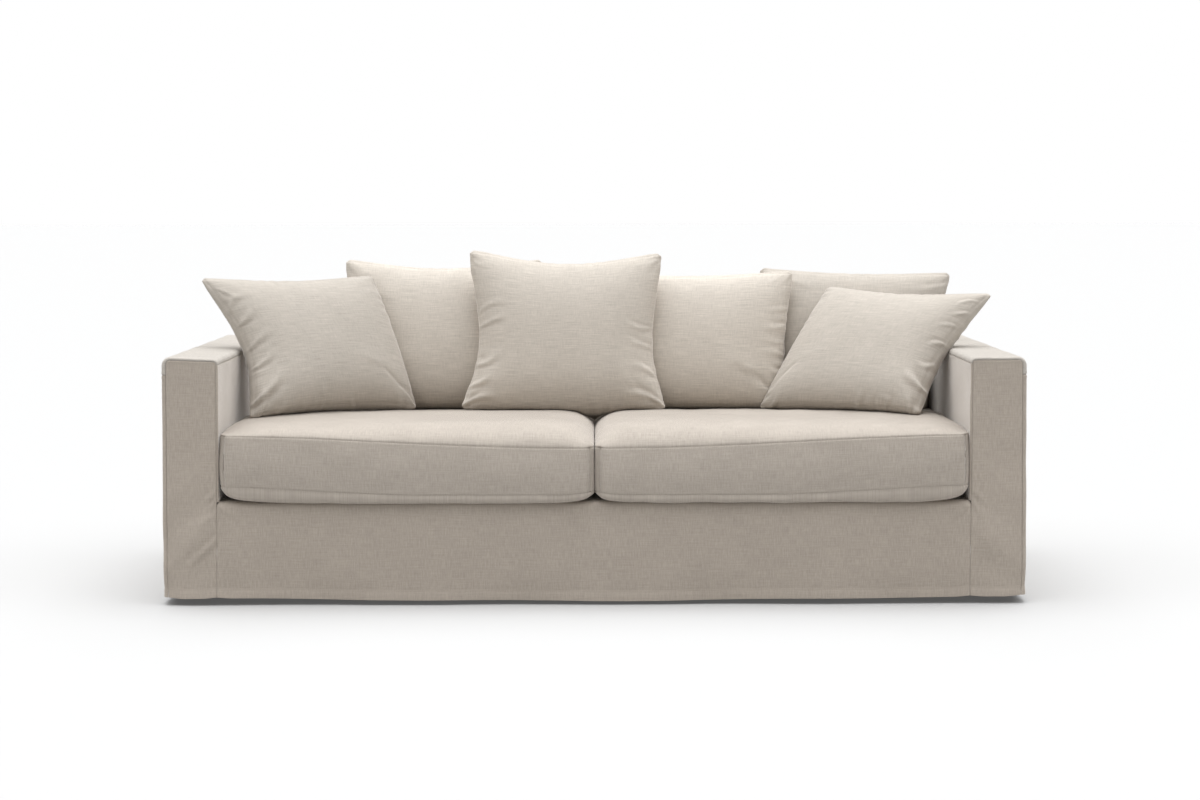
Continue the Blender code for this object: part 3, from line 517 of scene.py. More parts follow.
def rolled_rows(y_end, step, seam_end=True):
    """Rows from a seam round the edge and on: (share of the inset, y measured inwards from the face)."""
    path = [(SEAM_INSET - HALF_GAP, 0.0)]
    path += [(EDGE_RADIUS * (1 - math.sin(a)), EDGE_RADIUS * (1 - math.cos(a)))
             for a in np.linspace(0, math.pi / 2, TURN_STEPS)]
    path.append((0.0, y_end))
    rows = along(path, step, True, seam_end)
    return rows[:, 0] / SEAM_INSET, rows[:, 1]


def band(section, shares, ys, y_sign, y_face):
    """Points of a top band: rows along the depth, columns over its section."""
    section = np.array(section)
    rows = []
    for share, depth in zip(shares, ys):
        x = section[:, 0] + (section[:, 2] - section[:, 0]) * share
        z = section[:, 1] + (section[:, 3] - section[:, 1]) * share
        rows.append(np.stack([x, np.full_like(x, y_face + y_sign * depth), z], axis=1))
    return np.array(rows)


def mirrored(points, side):
    """Points made for the right arm, or their mirror image for the left one, where side is -1."""
    return points * np.array([side, 1.0, 1.0])


def arm_top_points(step):
    """The right arm's top band, from one side seam over to the other."""
    section = outer_side() + inner_side()[::-1]
    section = along(section, step)
    shares, ys = rolled_rows(Y_BACK_INSIDE - HALF_GAP - Y_FRONT, step)
    return band(section, shares, ys, 1, Y_FRONT)


def arm_outside_points(step):
    """The right arm's outer side, rolled round its front and its back edge."""
    inset = X_OUT - SEAM_INSET + HALF_GAP
    plan = [(inset, Y_FRONT)] + arc((X_OUT - EDGE_RADIUS, Y_FRONT + EDGE_RADIUS), EDGE_RADIUS, -90, 0)
    plan += arc((X_OUT - EDGE_RADIUS, HALF_DEPTH - EDGE_RADIUS), EDGE_RADIUS, 0, 90) + [(inset, HALF_DEPTH)]
    plan = along(plan, step)
    levels = spaced(Z_SIDE_SEAM - HALF_GAP, step)
    return np.array([[(x, y, z) for x, y in plan] for z in levels])


def arm_inside_points(step):
    """The right arm's inner side, from the front seam to the back and from the deck to the top band."""
    plan = [(X_IN + INNER_INSET - HALF_GAP, Y_FRONT)]
    for a in np.linspace(0, math.pi / 2, TURN_STEPS):
        plan.append((X_IN + INNER_INSET * EDGE_RADIUS / SEAM_INSET * (1 - math.sin(a)),
                     Y_FRONT + EDGE_RADIUS * (1 - math.cos(a))))
    plan = along(plan + [(X_IN, Y_BACK_INSIDE)], step)
    levels = Z_DECK + SEAM_GAP + spaced(Z_INNER_SEAM - HALF_GAP - Z_DECK - SEAM_GAP, step)
    return np.array([[(x, y, z) for x, y in plan] for z in levels])


def arm_front_points(step):
    """The right arm's flat front, narrowed at the top by the rounding of the top band."""
    levels = spaced(Z_PANEL_TOP - HALF_GAP, step)
    inner, outer = edge_at(inner_side(), levels), edge_at(outer_side(), levels)
    rows = []
    for z, x0, x1 in zip(levels, inner + HALF_GAP, outer - HALF_GAP):
        across = spaced(X_OUT - SEAM_INSET - X_IN - INNER_INSET, step)
        across = x0 + across / across[-1] * (x1 - x0)
        rows.append([(x, Y_FRONT, z) for x in across])
    return np.array(rows)


def back_outside_points(step):
    """The whole outer back, narrowed at the top like the arms' fronts."""
    levels = spaced(Z_PANEL_TOP - HALF_GAP, step)
    outer = edge_at(outer_side(), levels) - HALF_GAP
    across = spaced(2 * (X_OUT - SEAM_INSET), step)
    shares = across / across[-1] * 2 - 1
    return np.array([[(x1 * share, HALF_DEPTH, z) for share in shares] for z, x1 in zip(levels, outer)])


def back_top_patches(step):
    """The back's top band: its long run, a strip at each arm, and the edge turned down to the inner back."""
    outer = np.array(outer_side())
    left = outer * np.array([-1, 1, -1, 1])
    split = X_IN - SEAM_GAP
    arm_left = along(np.concatenate([left, [(-split, Z_TOP, -split, Z_PANEL_TOP)]]), step, True, False)
    arm_right = (arm_left * np.array([-1, 1, -1, 1]))[::-1]
    middle_x = np.linspace(-split, split, math.ceil(2 * split / (2 * step)))
    middle = np.array([(x, Z_TOP, x, Z_PANEL_TOP) for x in middle_x])
    roll_start = HALF_DEPTH - Y_BACK_INSIDE - TOP_RADIUS_IN
    shares, ys = rolled_rows(roll_start, step, seam_end=False)
    over = np.concatenate([arm_left, middle[1:-1], arm_right])
    patches = [{"points": band(over, shares, ys, -1, HALF_DEPTH), "seams": ("first", "last", "top")}]
    v_start = roll_start + SEAM_INSET
    strip = spaced(TOP_RADIUS_IN - HALF_GAP, step, False, True)
    for part, border in ((arm_left, "first"), (arm_right, "last")):
        points = band(part, np.zeros_like(strip), roll_start + strip, -1, HALF_DEPTH)
        patches.append({"points": points, "seams": (border,), "soft_seams": ("bottom",), "v_start": v_start,
                        "u_start": 0.0 if border == "first" else 2 * split})
    y0 = Y_BACK_INSIDE + TOP_RADIUS_IN
    path = arc((y0, Z_TOP - TOP_RADIUS_IN), TOP_RADIUS_IN, 90, 180)
    front = along(path + [(Y_BACK_INSIDE, Z_INNER_SEAM + HALF_GAP)], BACK_TURN_STEP, False, True)
    points = np.array([[(x, y, z) for x in middle_x] for y, z in front])
    patches.append({"points": points, "seams": ("bottom",), "v_start": v_start, "outward": (0, -1, 0.5),
                    "u_start": X_OUT - split})
    return patches


def back_inside_points(step):
    """The flat inner back between the arms."""
    split = X_IN - SEAM_GAP
    levels = Z_DECK + SEAM_GAP + spaced(Z_INNER_SEAM - HALF_GAP - Z_DECK - SEAM_GAP, step * 2)
    xs = np.linspace(-split, split, math.ceil(2 * split / (2 * step)))
    return np.array([[(x, Y_BACK_INSIDE, z) for x in xs] for z in levels])


def front_skirt_points(step):
    """The skirt between the arms' fronts, up and over the deck's front edge."""
    edge = X_IN + INNER_INSET - HALF_GAP
    xs = spaced(2 * edge, step) - edge
    path = [(Y_FRONT, 0.0)] + arc((Y_FRONT + DECK_RADIUS, Z_DECK - DECK_RADIUS), DECK_RADIUS, 180, 90)
    path = along(path + [(Y_FRONT + 2 * DECK_RADIUS, Z_DECK)], step)
    return np.array([[(x, y, z) for x in xs] for y, z in path])


def deck_points(step):
    """The flat deck under the seat cushions."""
    xs = np.linspace(-X_IN - DECK_UNDER, X_IN + DECK_UNDER, math.ceil(2 * X_IN / (2 * step)))
    ys = np.linspace(Y_FRONT + 2 * DECK_RADIUS + SEAM_GAP, Y_BACK_INSIDE + DECK_UNDER, DECK_ROWS)
    return np.array([[(x, y, Z_DECK) for x in xs] for y in ys])


# ---------------------------------------------------------------- materials

# Noise in the cloth: its scale across and along the cloth in cells a metre, its detail and its seed
CLOTH_NOISES = {
    "weft": ((16.0, 520.0, 1.0), 3.0, 3.1),
    "warp": ((460.0, 34.0, 1.0), 3.0, 8.7),
    "mottle": ((150.0, 150.0, 1.0), 2.0, 5.3),
    "drift": ((9.0, 9.0, 1.0), 2.0, 1.9),
}
MOTTLE_TONE, DRIFT_TONE, WEAVE_TONE = 0.28, 0.25, 0.12      # how far each lightens and darkens the cloth
SLUB_RISE, WEAVE_RISE, MOTTLE_RISE = 0.6, 0.35, 0.4         # and how far it raises the threads
DARKEST, LIGHTEST, LIGHT_LIFT = 0.80, 1.17, 0.01            # range of a finish's colour round its own
USUAL_THREADS = 900.0
ROUGHNESS, ROUGHNESS_RANGE = 0.90, -0.10
THREAD_HEIGHT = 0.0007
BUMP_STRENGTH = 0.35
SHEEN_ROUGHNESS = 0.30
SHEEN_TINT = (1.0, 0.965, 0.93, 1.0)
SPECULAR = 0.25
NOISE_ROUGHNESS = 0.6
SEED_TURN = 0.7                 # a noise is shifted along the cloth by this share of its shift across

# Each finish: threads in a metre as a share of the usual, contrast of its weft and warp, and its sheen
FINISHES = {
    "cover": (1.0, 0.75, 1.10, 0.95),
    # the tops: the cover's weave in its lighter colour, with less sheen, as painted light from above
    "bleached": (1.0, 0.75, 1.10, 0.25),
    "seat": (1.0, 0.75, 1.10, 0.60),
    "cushion": (0.9, 1.35, 0.80, 0.60),
}


def math_node(tree, operation, a, b=None):
    """The output of a new math node on sockets or numbers."""
    node = tree.nodes.new("ShaderNodeMath")
    node.operation = operation
    for socket, value in zip(node.inputs, (a, b)):
        if value is None:
            continue
        if isinstance(value, (int, float)):
            socket.default_value = value
        else:
            tree.links.new(value, socket)
    return node.outputs[0]


def set_inputs(node, values):
    """Constants on a node's inputs."""
    for key, value in values.items():
        node.inputs[key].default_value = value


def link_all(tree, *links):
    """Links, each given as a node and its output, and another node and its input."""
    for source, output, target, entry in links:
        tree.links.new(source.outputs[output], target.inputs[entry])


def new_finish(name):
    """A new material, its node tree and its shader."""
    material = bpy.data.materials.new(name)
    material.use_nodes = True
    return material, material.node_tree, material.node_tree.nodes["Principled BSDF"]


def shade_between(tree, share, dark, light, shader):
    """The shader's colour runs from dark to light with the share."""
    mix = tree.nodes.new("ShaderNodeMix")
    mix.data_type = "RGBA"
    set_inputs(mix, {"A": dark, "B": light})
    tree.links.new(share, mix.inputs["Factor"])
    tree.links.new(mix.outputs["Result"], shader.inputs["Base Color"])


def group_socket(group, name, kind, socket_type, value=None):
    """A new input or output of a node group."""
    socket = group.interface.new_socket(name=name, in_out=kind, socket_type=socket_type)
    if value is not None:
        socket.default_value = value
    return socket


def stretched_noise(tree, coordinates, scale, detail, seed):
    """Noise whose scale differs across and along the cloth."""
    mapping = tree.nodes.new("ShaderNodeMapping")
    set_inputs(mapping, {"Scale": scale, "Location": (seed, seed * SEED_TURN, 0.0)})
    tree.links.new(coordinates, mapping.inputs["Vector"])
    noise = tree.nodes.new("ShaderNodeTexNoise")
    noise.noise_dimensions = "2D"
    set_inputs(noise, {"Scale": 1.0, "Detail": detail, "Roughness": NOISE_ROUGHNESS})
    tree.links.new(mapping.outputs[0], noise.inputs["Vector"])
    return noise.outputs[0]


def linen_weave_group():
    """Plain weave with slubs: puts out the threads' height and how light or dark each place is."""
    group = bpy.data.node_groups.new("linen weave", "ShaderNodeTree")
    group_socket(group, "Cloth", "INPUT", "NodeSocketVector")
    group_socket(group, "Threads per metre", "INPUT", "NodeSocketFloat", USUAL_THREADS)
    group_socket(group, "Weft", "INPUT", "NodeSocketFloat", 1.0)
    group_socket(group, "Warp", "INPUT", "NodeSocketFloat", 1.0)
    group_socket(group, "Tone", "OUTPUT", "NodeSocketFloat")
    group_socket(group, "Height", "OUTPUT", "NodeSocketFloat")
    source = group.nodes.new("NodeGroupInput")
    result = group.nodes.new("NodeGroupOutput")
    parts = group.nodes.new("ShaderNodeSeparateXYZ")
    group.links.new(source.outputs["Cloth"], parts.inputs[0])
    cloth = source.outputs["Cloth"]
    centred = {name: math_node(group, "SUBTRACT", stretched_noise(group, cloth, *noise), 0.5)
               for name, noise in CLOTH_NOISES.items()}
    # over and under threads, half a cycle apart from row to row
    u = math_node(group, "MULTIPLY", parts.outputs[0], source.outputs["Threads per metre"])
    v = math_node(group, "MULTIPLY", parts.outputs[1], source.outputs["Threads per metre"])
    weave = math_node(group, "MULTIPLY",
                      math_node(group, "SINE", math_node(group, "MULTIPLY", u, math.pi)),
                      math_node(group, "SINE", math_node(group, "MULTIPLY", v, math.pi)))
    weft = math_node(group, "MULTIPLY", centred["weft"], source.outputs["Weft"])
    warp = math_node(group, "MULTIPLY", centred["warp"], source.outputs["Warp"])
    slubs = math_node(group, "ADD", weft, warp)
    fine = math_node(group, "MULTIPLY", centred["mottle"], MOTTLE_TONE)
    slow = math_node(group, "MULTIPLY", centred["drift"], DRIFT_TONE)
    tone = math_node(group, "ADD", math_node(group, "ADD", slubs, fine), slow)
    tone = math_node(group, "ADD", tone, math_node(group, "MULTIPLY", weave, WEAVE_TONE))
    group.links.new(tone, result.inputs["Tone"])
    raised = math_node(group, "MULTIPLY", weave, WEAVE_RISE)
    height = math_node(group, "ADD", math_node(group, "MULTIPLY", slubs, SLUB_RISE), raised)
    height = math_node(group, "ADD", height, math_node(group, "MULTIPLY", fine, MOTTLE_RISE))
    group.links.new(height, result.inputs["Height"])
    return group


def linen(name, colour, threads_per_metre, weft, warp, sheen):
    """A linen finish over the weave group. Colours vary with the threads, and the pile catches light."""
    material, tree, shader = new_finish(name)
    uv = tree.nodes.new("ShaderNodeUVMap")
    uv.uv_map = "weave"
    weave = tree.nodes.new("ShaderNodeGroup")
    weave.node_tree = bpy.data.node_groups.get("linen weave") or linen_weave_group()
    set_inputs(weave, {"Threads per metre": threads_per_metre, "Weft": weft, "Warp": warp})
    dark = (*[c * DARKEST for c in colour], 1.0)
    light = (*[min(1.0, c * LIGHTEST + LIGHT_LIFT) for c in colour], 1.0)
    shade_between(tree, math_node(tree, "ADD", weave.outputs["Tone"], 0.5), dark, light, shader)
    smoothing = math_node(tree, "MULTIPLY", weave.outputs["Tone"], ROUGHNESS_RANGE)
    tree.links.new(math_node(tree, "ADD", smoothing, ROUGHNESS), shader.inputs["Roughness"])
    bump = tree.nodes.new("ShaderNodeBump")
    set_inputs(bump, {"Strength": BUMP_STRENGTH, "Distance": THREAD_HEIGHT})
    link_all(tree, (uv, "UV", weave, "Cloth"), (weave, "Height", bump, "Height"),
             (bump, "Normal", shader, "Normal"))
    set_inputs(shader, {"Sheen Weight": sheen, "Sheen Roughness": SHEEN_ROUGHNESS, "Sheen Tint": SHEEN_TINT,
                        "Specular IOR Level": SPECULAR})
    return material


def finish(kind, tone=1.0):
    """The finish of this kind. Its colour is made darker or lighter by its tone: painted shade and light in
    place of how brightly a cushion is lit.
    """
    colours = bpy.context.scene.linen_colours
    name = kind + "_linen_weave" + ("" if tone == 1.0 else f"_{round(100 * tone)}")
    found = bpy.data.materials.get(name)
    if found:
        return found
    threads, weft, warp, sheen = FINISHES[kind]
    shade = [tone * value for value in getattr(colours, kind)]
    return linen(name, shade, threads / colours.thread_spacing, weft, warp, sheen)


# ---------------------------------------------------------------- what cushions rest against

RAY = Vector((0.013, 0.007, 1.0)).normalized()
RAY_STEP = 1e-4         # a ray goes on this far behind each hit
MOST_HITS = 20
PRESS_REACH = 0.15      # how deep in a support a point is still found
SURE_SIDE = 0.004       # nearer to a surface than this, its normal tells which side a point is on
ON_SURFACE = 1e-7
NEARLY_ON = 1e-6


class Support:
    """A closed surface that a cushion is pressed against."""

    def __init__(self, points, faces):
        self.tree = BVHTree.FromPolygons([Vector(p) for p in points], faces)
        points = np.asarray(points)
        self.low, self.high = points.min(axis=0), points.max(axis=0)

    def holds(self, point):
        """Whether a ray from the point crosses the surface an odd number of times."""
        start, hits = point.copy(), 0
        while hits < MOST_HITS:
            spot = self.tree.ray_cast(start, RAY)[0]
            if spot is None:
                break
            hits += 1
            start = spot + RAY * RAY_STEP
        return hits % 2 == 1

    def push(self, point, gap):
        """The move that takes a point out of this surface, or None if it is already clear."""
        spot, normal, _, distance = self.tree.find_nearest(point, PRESS_REACH)
        if spot is None:
            return None
        if distance > SURE_SIDE or distance < ON_SURFACE:
            inside = self.holds(point)
        else:
            inside = (point - spot).dot(normal) < 0
        depth = distance if inside else -distance
        if depth <= -gap:
            return None
        if distance < NEARLY_ON:
            away = normal
        else:
            away = ((spot - point) if inside else (point - spot)) / distance
        return away * (depth + gap)


def mesh_support(piece):
    """The finished surface of a piece as a support."""
    shaped = piece.evaluated_get(bpy.context.evaluated_depsgraph_get())
    mesh = shaped.to_mesh()
    support = Support([v.co.copy() for v in mesh.vertices], [tuple(p.vertices) for p in mesh.polygons])
    shaped.to_mesh_clear()
    return support


def press(points, supports, gap, passes):
    """Push points out of their supports. In each pass a point takes its longest move."""
    points = np.array(points, float)
    for _ in range(passes):
        moves = np.zeros_like(points)
        sizes = np.zeros(len(points))
        for support in supports:
            low, high = support.low - gap, support.high + gap
            near = np.nonzero(np.all((points > low) & (points < high), axis=1))[0]
            for k in near:
                move = support.push(Vector(points[k]), gap)
                if move is not None and move.length > sizes[k]:
                    moves[k] = move
                    sizes[k] = move.length
        if not sizes.any():
            break
        points += moves
    return points


# ---------------------------------------------------------------- loose cushions

EDGE_FULLNESS = 3.0     # 2 is an ellipse, and more carries the filling out to the edges
BELLY = 0.22            # the fullest part lies this share of half the height below the middle
PULL_POWER = 1.5        # how closely an edge's drawing in keeps to the middle of the edge
TIP_CUT = 0.009         # the corners are turned round by this much
TIP_START = 0.93

# Flat distances from a cushion's sewn edge at which it has a row of points
BESIDE_EDGE = (0.0, 0.0035, 0.0070, 0.0120, 0.0190)

# One row for each loose cushion, in the order in which they are laid: its kind, its tone, how full it is,
# its corners, its thickness, and how far its edges draw in as a share of half its size. "ears" is how much
# more the sides draw in below the middle than above it. The tone lightens or darkens a cushion's whole
# cloth: painted light and shade in place of how brightly each cushion is lit.
# Creases run on its front face from (u, v) to (u, v), each from -1 to 1, with a half width and a height.
LOOSE_CUSHIONS = [
    {
        "name": "back_cushion_left", "kind": "back", "tone": 1.03, "fill": 0.62,
        "top_left": (-0.742, 0.225, 0.901), "top_right": (-0.153, 0.225, 0.900),
        "low_right": (-0.141, 0.140, 0.457), "low_left": (-0.730, 0.140, 0.457),
        "thickness": 0.170, "draw_left": 0.04, "draw_right": 0.04, "draw_top": 0.12, "draw_low": 0.00,
        "ears": 0.1,
        "creases": [
            Crease(-0.97, 0.60, -0.55, 0.50, 0.010, 0.0020),
            Crease(-0.97, 0.20, -0.60, 0.15, 0.012, 0.0022),
        ],
    },
    {
        "name": "back_cushion_right", "kind": "back", "tone": 0.88, "fill": 0.62,
        "top_left": (0.494, 0.260, 0.872), "top_right": (1.066, 0.225, 0.858),
        "low_right": (0.985, 0.140, 0.457), "low_left": (0.500, 0.170, 0.453),
        "thickness": 0.165, "draw_left": 0.04, "draw_right": 0.05, "draw_top": 0.05, "draw_low": 0.00,
        "ears": 0.1,
        "creases": [
            Crease(-0.95, 0.92, -0.30, 0.70, 0.012, 0.0018),
            Crease(0.98, 0.80, 0.55, 0.70, 0.010, 0.0016),
        ],
    },
    {
        "name": "back_cushion_middle", "kind": "back", "tone": 1.07, "fill": 0.62,
        "top_left": (0.016, 0.205, 0.858), "top_right": (0.590, 0.165, 0.866),
        "low_right": (0.562, 0.085, 0.460), "low_left": (0.019, 0.140, 0.457),
        "thickness": 0.165, "draw_left": 0.04, "draw_right": 0.05, "draw_top": 0.05, "draw_low": 0.00,
        "ears": 0.1,
        "creases": [
            Crease(0.99, 0.44, 0.76, 0.40, 0.008, 0.0012),
            Crease(0.99, 0.20, 0.74, 0.16, 0.009, 0.0016),
            Crease(0.99, -0.04, 0.78, 0.00, 0.008, 0.0012),
            Crease(0.99, -0.24, 0.74, -0.20, 0.010, 0.0016),
            Crease(0.99, -0.48, 0.78, -0.42, 0.009, 0.0014),
            Crease(0.95, -0.74, 0.70, -0.68, 0.011, 0.0020),
        ],
    },
    {
        "name": "scatter_cushion_left", "kind": "scatter", "tone": 0.83, "fill": 0.55,
        "top_left": (-1.122, -0.070, 0.857), "top_right": (-0.650, 0.130, 0.856),
        "low_right": (-0.516, 0.045, 0.467), "low_left": (-0.955, -0.245, 0.467),
        "thickness": 0.175, "draw_left": 0.20, "draw_right": -0.02, "draw_top": 0.07, "draw_low": 0.05,
        "ears": 0.1,
        "creases": [
            Crease(-0.94, 0.80, -0.80, 0.61, 0.007, 0.0022),
            Crease(-0.96, 0.47, -0.70, 0.66, 0.008, 0.0034),
            Crease(-0.96, 0.26, -0.76, 0.46, 0.009, 0.0040),
            Crease(-0.97, -0.08, -0.68, 0.12, 0.010, 0.0034),
            Crease(-0.98, -0.35, -0.72, -0.18, 0.009, 0.0036),
            Crease(-0.99, -0.82, -0.68, -0.50, 0.012, 0.0072),
            Crease(-0.92, -0.99, -0.86, -0.68, 0.009, 0.0050),
            Crease(-0.72, -0.99, -0.60, -0.86, 0.008, 0.0034),
            Crease(-0.20, -0.99, -0.17, -0.70, 0.010, 0.0026),
            Crease(0.20, -0.99, 0.18, -0.84, 0.009, 0.0018),
            Crease(0.96, -0.96, 0.78, -0.74, 0.009, 0.0042),
        ],
    },
    {
        "name": "scatter_cushion_centre", "kind": "scatter", "tone": 0.99, "fill": 0.60,
        "top_left": (-0.366, 0.110, 0.932), "top_right": (0.198, 0.110, 0.921),
        "low_right": (0.208, 0.010, 0.465), "low_left": (-0.388, 0.010, 0.469),
        "thickness": 0.170, "draw_left": 0.14, "draw_right": 0.11, "draw_top": 0.16, "draw_low": -0.07,
        "ears": 0.5,
        "creases": [
            Crease(-0.97, 0.20, -0.62, 0.32, 0.008, 0.0018),
            Crease(-0.97, 0.02, -0.66, 0.14, 0.008, 0.0026),
            Crease(-0.97, -0.46, -0.74, -0.30, 0.009, 0.0030),
            Crease(-0.98, -0.72, -0.76, -0.58, 0.009, 0.0040),
            Crease(-0.97, -0.93, -0.66, -0.84, 0.009, 0.0052),
            Crease(-0.99, 0.90, -0.82, 0.80, 0.007, 0.0020),
            Crease(0.97, 0.02, 0.66, 0.10, 0.008, 0.0020),
            Crease(0.97, -0.22, 0.70, -0.14, 0.008, 0.0020),
            Crease(0.98, -0.58, 0.74, -0.46, 0.009, 0.0030),
            Crease(0.97, -0.92, 0.62, -0.80, 0.010, 0.0052),
            Crease(0.99, 0.90, 0.84, 0.82, 0.007, 0.0020),
        ],
    },
    {
        "name": "scatter_cushion_right", "kind": "scatter", "tone": 0.88, "fill": 0.55,
        "top_left": (0.688, 0.145, 0.821), "top_right": (1.137, -0.065, 0.808),
        "low_right": (0.904, -0.230, 0.474), "low_left": (0.478, 0.060, 0.461),
        "thickness": 0.170, "draw_left": 0.00, "draw_right": 0.13, "draw_top": 0.09, "draw_low": 0.00,
        "ears": 0.1,
        "creases": [
            Crease(0.95, 0.80, 0.80, 0.66, 0.007, 0.0026),
            Crease(0.96, 0.60, 0.84, 0.50, 0.007, 0.0030),
            Crease(0.97, 0.36, 0.80, 0.30, 0.007, 0.0026),
            Crease(0.98, 0.08, 0.86, -0.04, 0.008, 0.0036),
            Crease(0.98, -0.24, 0.84, -0.32, 0.009, 0.0030),
            Crease(0.98, -0.66, 0.76, -0.46, 0.012, 0.0090),
            Crease(0.90, -0.98, 0.82, -0.76, 0.010, 0.0060),
            Crease(0.62, -0.98, 0.58, -0.84, 0.009, 0.0032),
            Crease(0.28, -0.98, 0.27, -0.78, 0.010, 0.0020),
            Crease(-0.84, -0.98, -0.76, -0.84, 0.008, 0.0046),
            Crease(-0.98, -0.82, -0.88, -0.74, 0.008, 0.0034),
        ],
    },
]


def edge_steps(half, count):
    """Values from -1 to 1 over a width of 2 * half, closer together at the sewn edges."""
    inner = BESIDE_EDGE[-1] / half
    start = [-1 + d / half for d in BESIDE_EDGE]
    middle = np.linspace(-1 + inner, 1 - inner, count + 1)[1:-1]
    return np.array(start + list(middle) + [-s for s in start[::-1]])


def cushion_frame(row):
    """A cushion's corners, the way it faces, and its width and height."""
    corners = [np.array(row[key]) for key in ("low_left", "low_right", "top_right", "top_left")]
    across = corners[1] + corners[2] - corners[0] - corners[3]
    along_up = corners[2] + corners[3] - corners[0] - corners[1]
    facing = np.cross(across, along_up)
    facing /= np.linalg.norm(facing)
    width = np.linalg.norm(across) / 2
    height = np.linalg.norm(along_up) / 2
    return corners, facing, width, height


def cushion_grid(row, cells):
    """Front and back points of a cushion between its corners, its faces, and each point's (u, v)."""
    corners, facing, width, height = cushion_frame(row)
    us, vs = edge_steps(width / 2, cells), edge_steps(height / 2, round(cells * height / width))
    u, v = np.meshgrid(us, vs)
    across_pull = (1 - v * v) ** PULL_POWER * (1 - row["ears"] * v)
    u_in = u * (1 - np.where(u < 0, row["draw_left"], row["draw_right"]) * across_pull)
    v_in = v * (1 - np.where(v < 0, row["draw_low"], row["draw_top"]) * (1 - u * u) ** PULL_POWER)
    tip = TIP_CUT * beyond(TIP_START, u) ** 2 * beyond(TIP_START, v) ** 2
    u_in = u_in - np.copysign(tip / (width / 2), u)
    v_in = v_in - np.copysign(tip / (height / 2), v)
    su, sv = ((u_in + 1) / 2)[..., None], ((v_in + 1) / 2)[..., None]
    middle = (corners[0] * (1 - su) + corners[1] * su) * (1 - sv)
    middle = middle + (corners[3] * (1 - su) + corners[2] * su) * sv
    settled = v + BELLY * (1 - v * v)
    fullness = (1 - np.abs(u) ** EDGE_FULLNESS) * (1 - np.abs(settled) ** EDGE_FULLNESS)
    depth = row["thickness"] / 2 * np.sqrt(np.maximum(fullness, 0.0))
    rows, columns = u.shape
    inner = np.zeros(u.shape, bool)
    inner[1:-1, 1:-1] = True
    front = np.arange(rows * columns).reshape(rows, columns)
    back = front.copy()
    back[inner] = rows * columns + np.arange(inner.sum())
    points = np.concatenate([(middle + facing * depth[..., None]).reshape(-1, 3),
                             (middle - facing * depth[..., None])[inner]])
    uv = np.stack([u, v], axis=-1)
    places = np.concatenate([uv.reshape(-1, 2), uv[inner]])
    sides = np.concatenate([np.where(inner, 1.0, 0.0).reshape(-1), -np.ones(inner.sum())])
    faces = []
    for j in range(rows - 1):
        for i in range(columns - 1):
            ring = [(j, i), (j, i + 1), (j + 1, i + 1), (j + 1, i)]
            faces.append([int(front[key]) for key in ring])
            faces.append([int(back[key]) for key in ring[::-1]])
    return points, faces, places, sides, (width, height)


def mesh_object(name, points, faces, material):
    """A new smooth object of these points and faces, in this finish."""
    mesh = bpy.data.meshes.new(name)
    mesh.from_pydata([tuple(p) for p in points], [], faces)
    mesh.shade_smooth()
    mesh.materials.append(material)
    piece = bpy.data.objects.new(name, mesh)
    bpy.context.scene.collection.objects.link(piece)
    return piece


def coordinates(mesh):
    """A mesh's points as an array."""
    points = np.empty(len(mesh.vertices) * 3)
    mesh.vertices.foreach_get("co", points)
    return points.reshape(-1, 3)


def evaluated_points(piece):
    """A piece's points with its modifiers applied."""
    shaped = piece.evaluated_get(bpy.context.evaluated_depsgraph_get())
    mesh = shaped.to_mesh()
    points = coordinates(mesh)
    shaped.to_mesh_clear()
    return points


FILLED_CLOTH = {
    "quality": 5,
    "mass": 0.3,
    "tension_stiffness": 18.0,
    "compression_stiffness": 5.0,
    "shear_stiffness": 6.0,
    "bending_stiffness": 0.15,
    "tension_damping": 8.0,
    "compression_damping": 8.0,
    "bending_damping": 0.6,
    "air_damping": 3.0,
    "pin_stiffness": 1.0,
}


def swell(piece, flat, pinned, sizes):
    """Let the filling press the cover out: cloth simulated from the flat cut, held at its pinned points."""
    piece.shape_key_add(name="laid")
    cut = piece.shape_key_add(name="cut")
    cut.data.foreach_set("co", flat.reshape(-1))
    cut.value = 0.0
    group = piece.vertex_groups.new(name="held")
    group.add([int(k) for k in np.nonzero(pinned)[0]], 1.0, "REPLACE")
    cloth = piece.modifiers.new("filling", "CLOTH")
    settings = cloth.settings
    for key, value in FILLED_CLOTH.items():
        setattr(settings, key, value)
    settings.rest_shape_key = cut
    settings.vertex_group_mass = "held"
    settings.use_pressure = True
    settings.uniform_pressure_force = sizes.pressure
    settings.effector_weights.gravity = 0.0
    cloth.collision_settings.use_collision = False
    cloth.collision_settings.use_self_collision = False
    cloth.point_cache.frame_start = 1
    cloth.point_cache.frame_end = sizes.frames
    for number in range(1, sizes.frames + 1):
        bpy.context.scene.frame_set(number)
    settled = evaluated_points(piece)
    bpy.context.scene.frame_set(1)
    piece.modifiers.remove(cloth)
    piece.shape_key_clear()
    piece.vertex_groups.clear()
    return settled


def subdivided(points, faces, places):
    """One smooth subdivision. The (u, v) of each point is carried along in a second mesh."""
    results = []
    lifted = np.concatenate([places, np.zeros((len(places), 1))], axis=1)
    for source in (points, lifted):
        mesh = bpy.data.meshes.new("subdivide")
        mesh.from_pydata([tuple(p) for p in source], [], faces)
        temporary = bpy.data.objects.new("subdivide", mesh)
        bpy.context.scene.collection.objects.link(temporary)
        modifier = temporary.modifiers.new("smooth", "SUBSURF")
        modifier.levels = modifier.render_levels = 1
        shaped = temporary.evaluated_get(bpy.context.evaluated_depsgraph_get())
        result = shaped.to_mesh()
        results.append(coordinates(result))
        polygons = [list(p.vertices) for p in result.polygons]
        shaped.to_mesh_clear()
        bpy.data.objects.remove(temporary, do_unlink=True)
        bpy.data.meshes.remove(mesh)
    return results[0], polygons, results[1][:, :2]


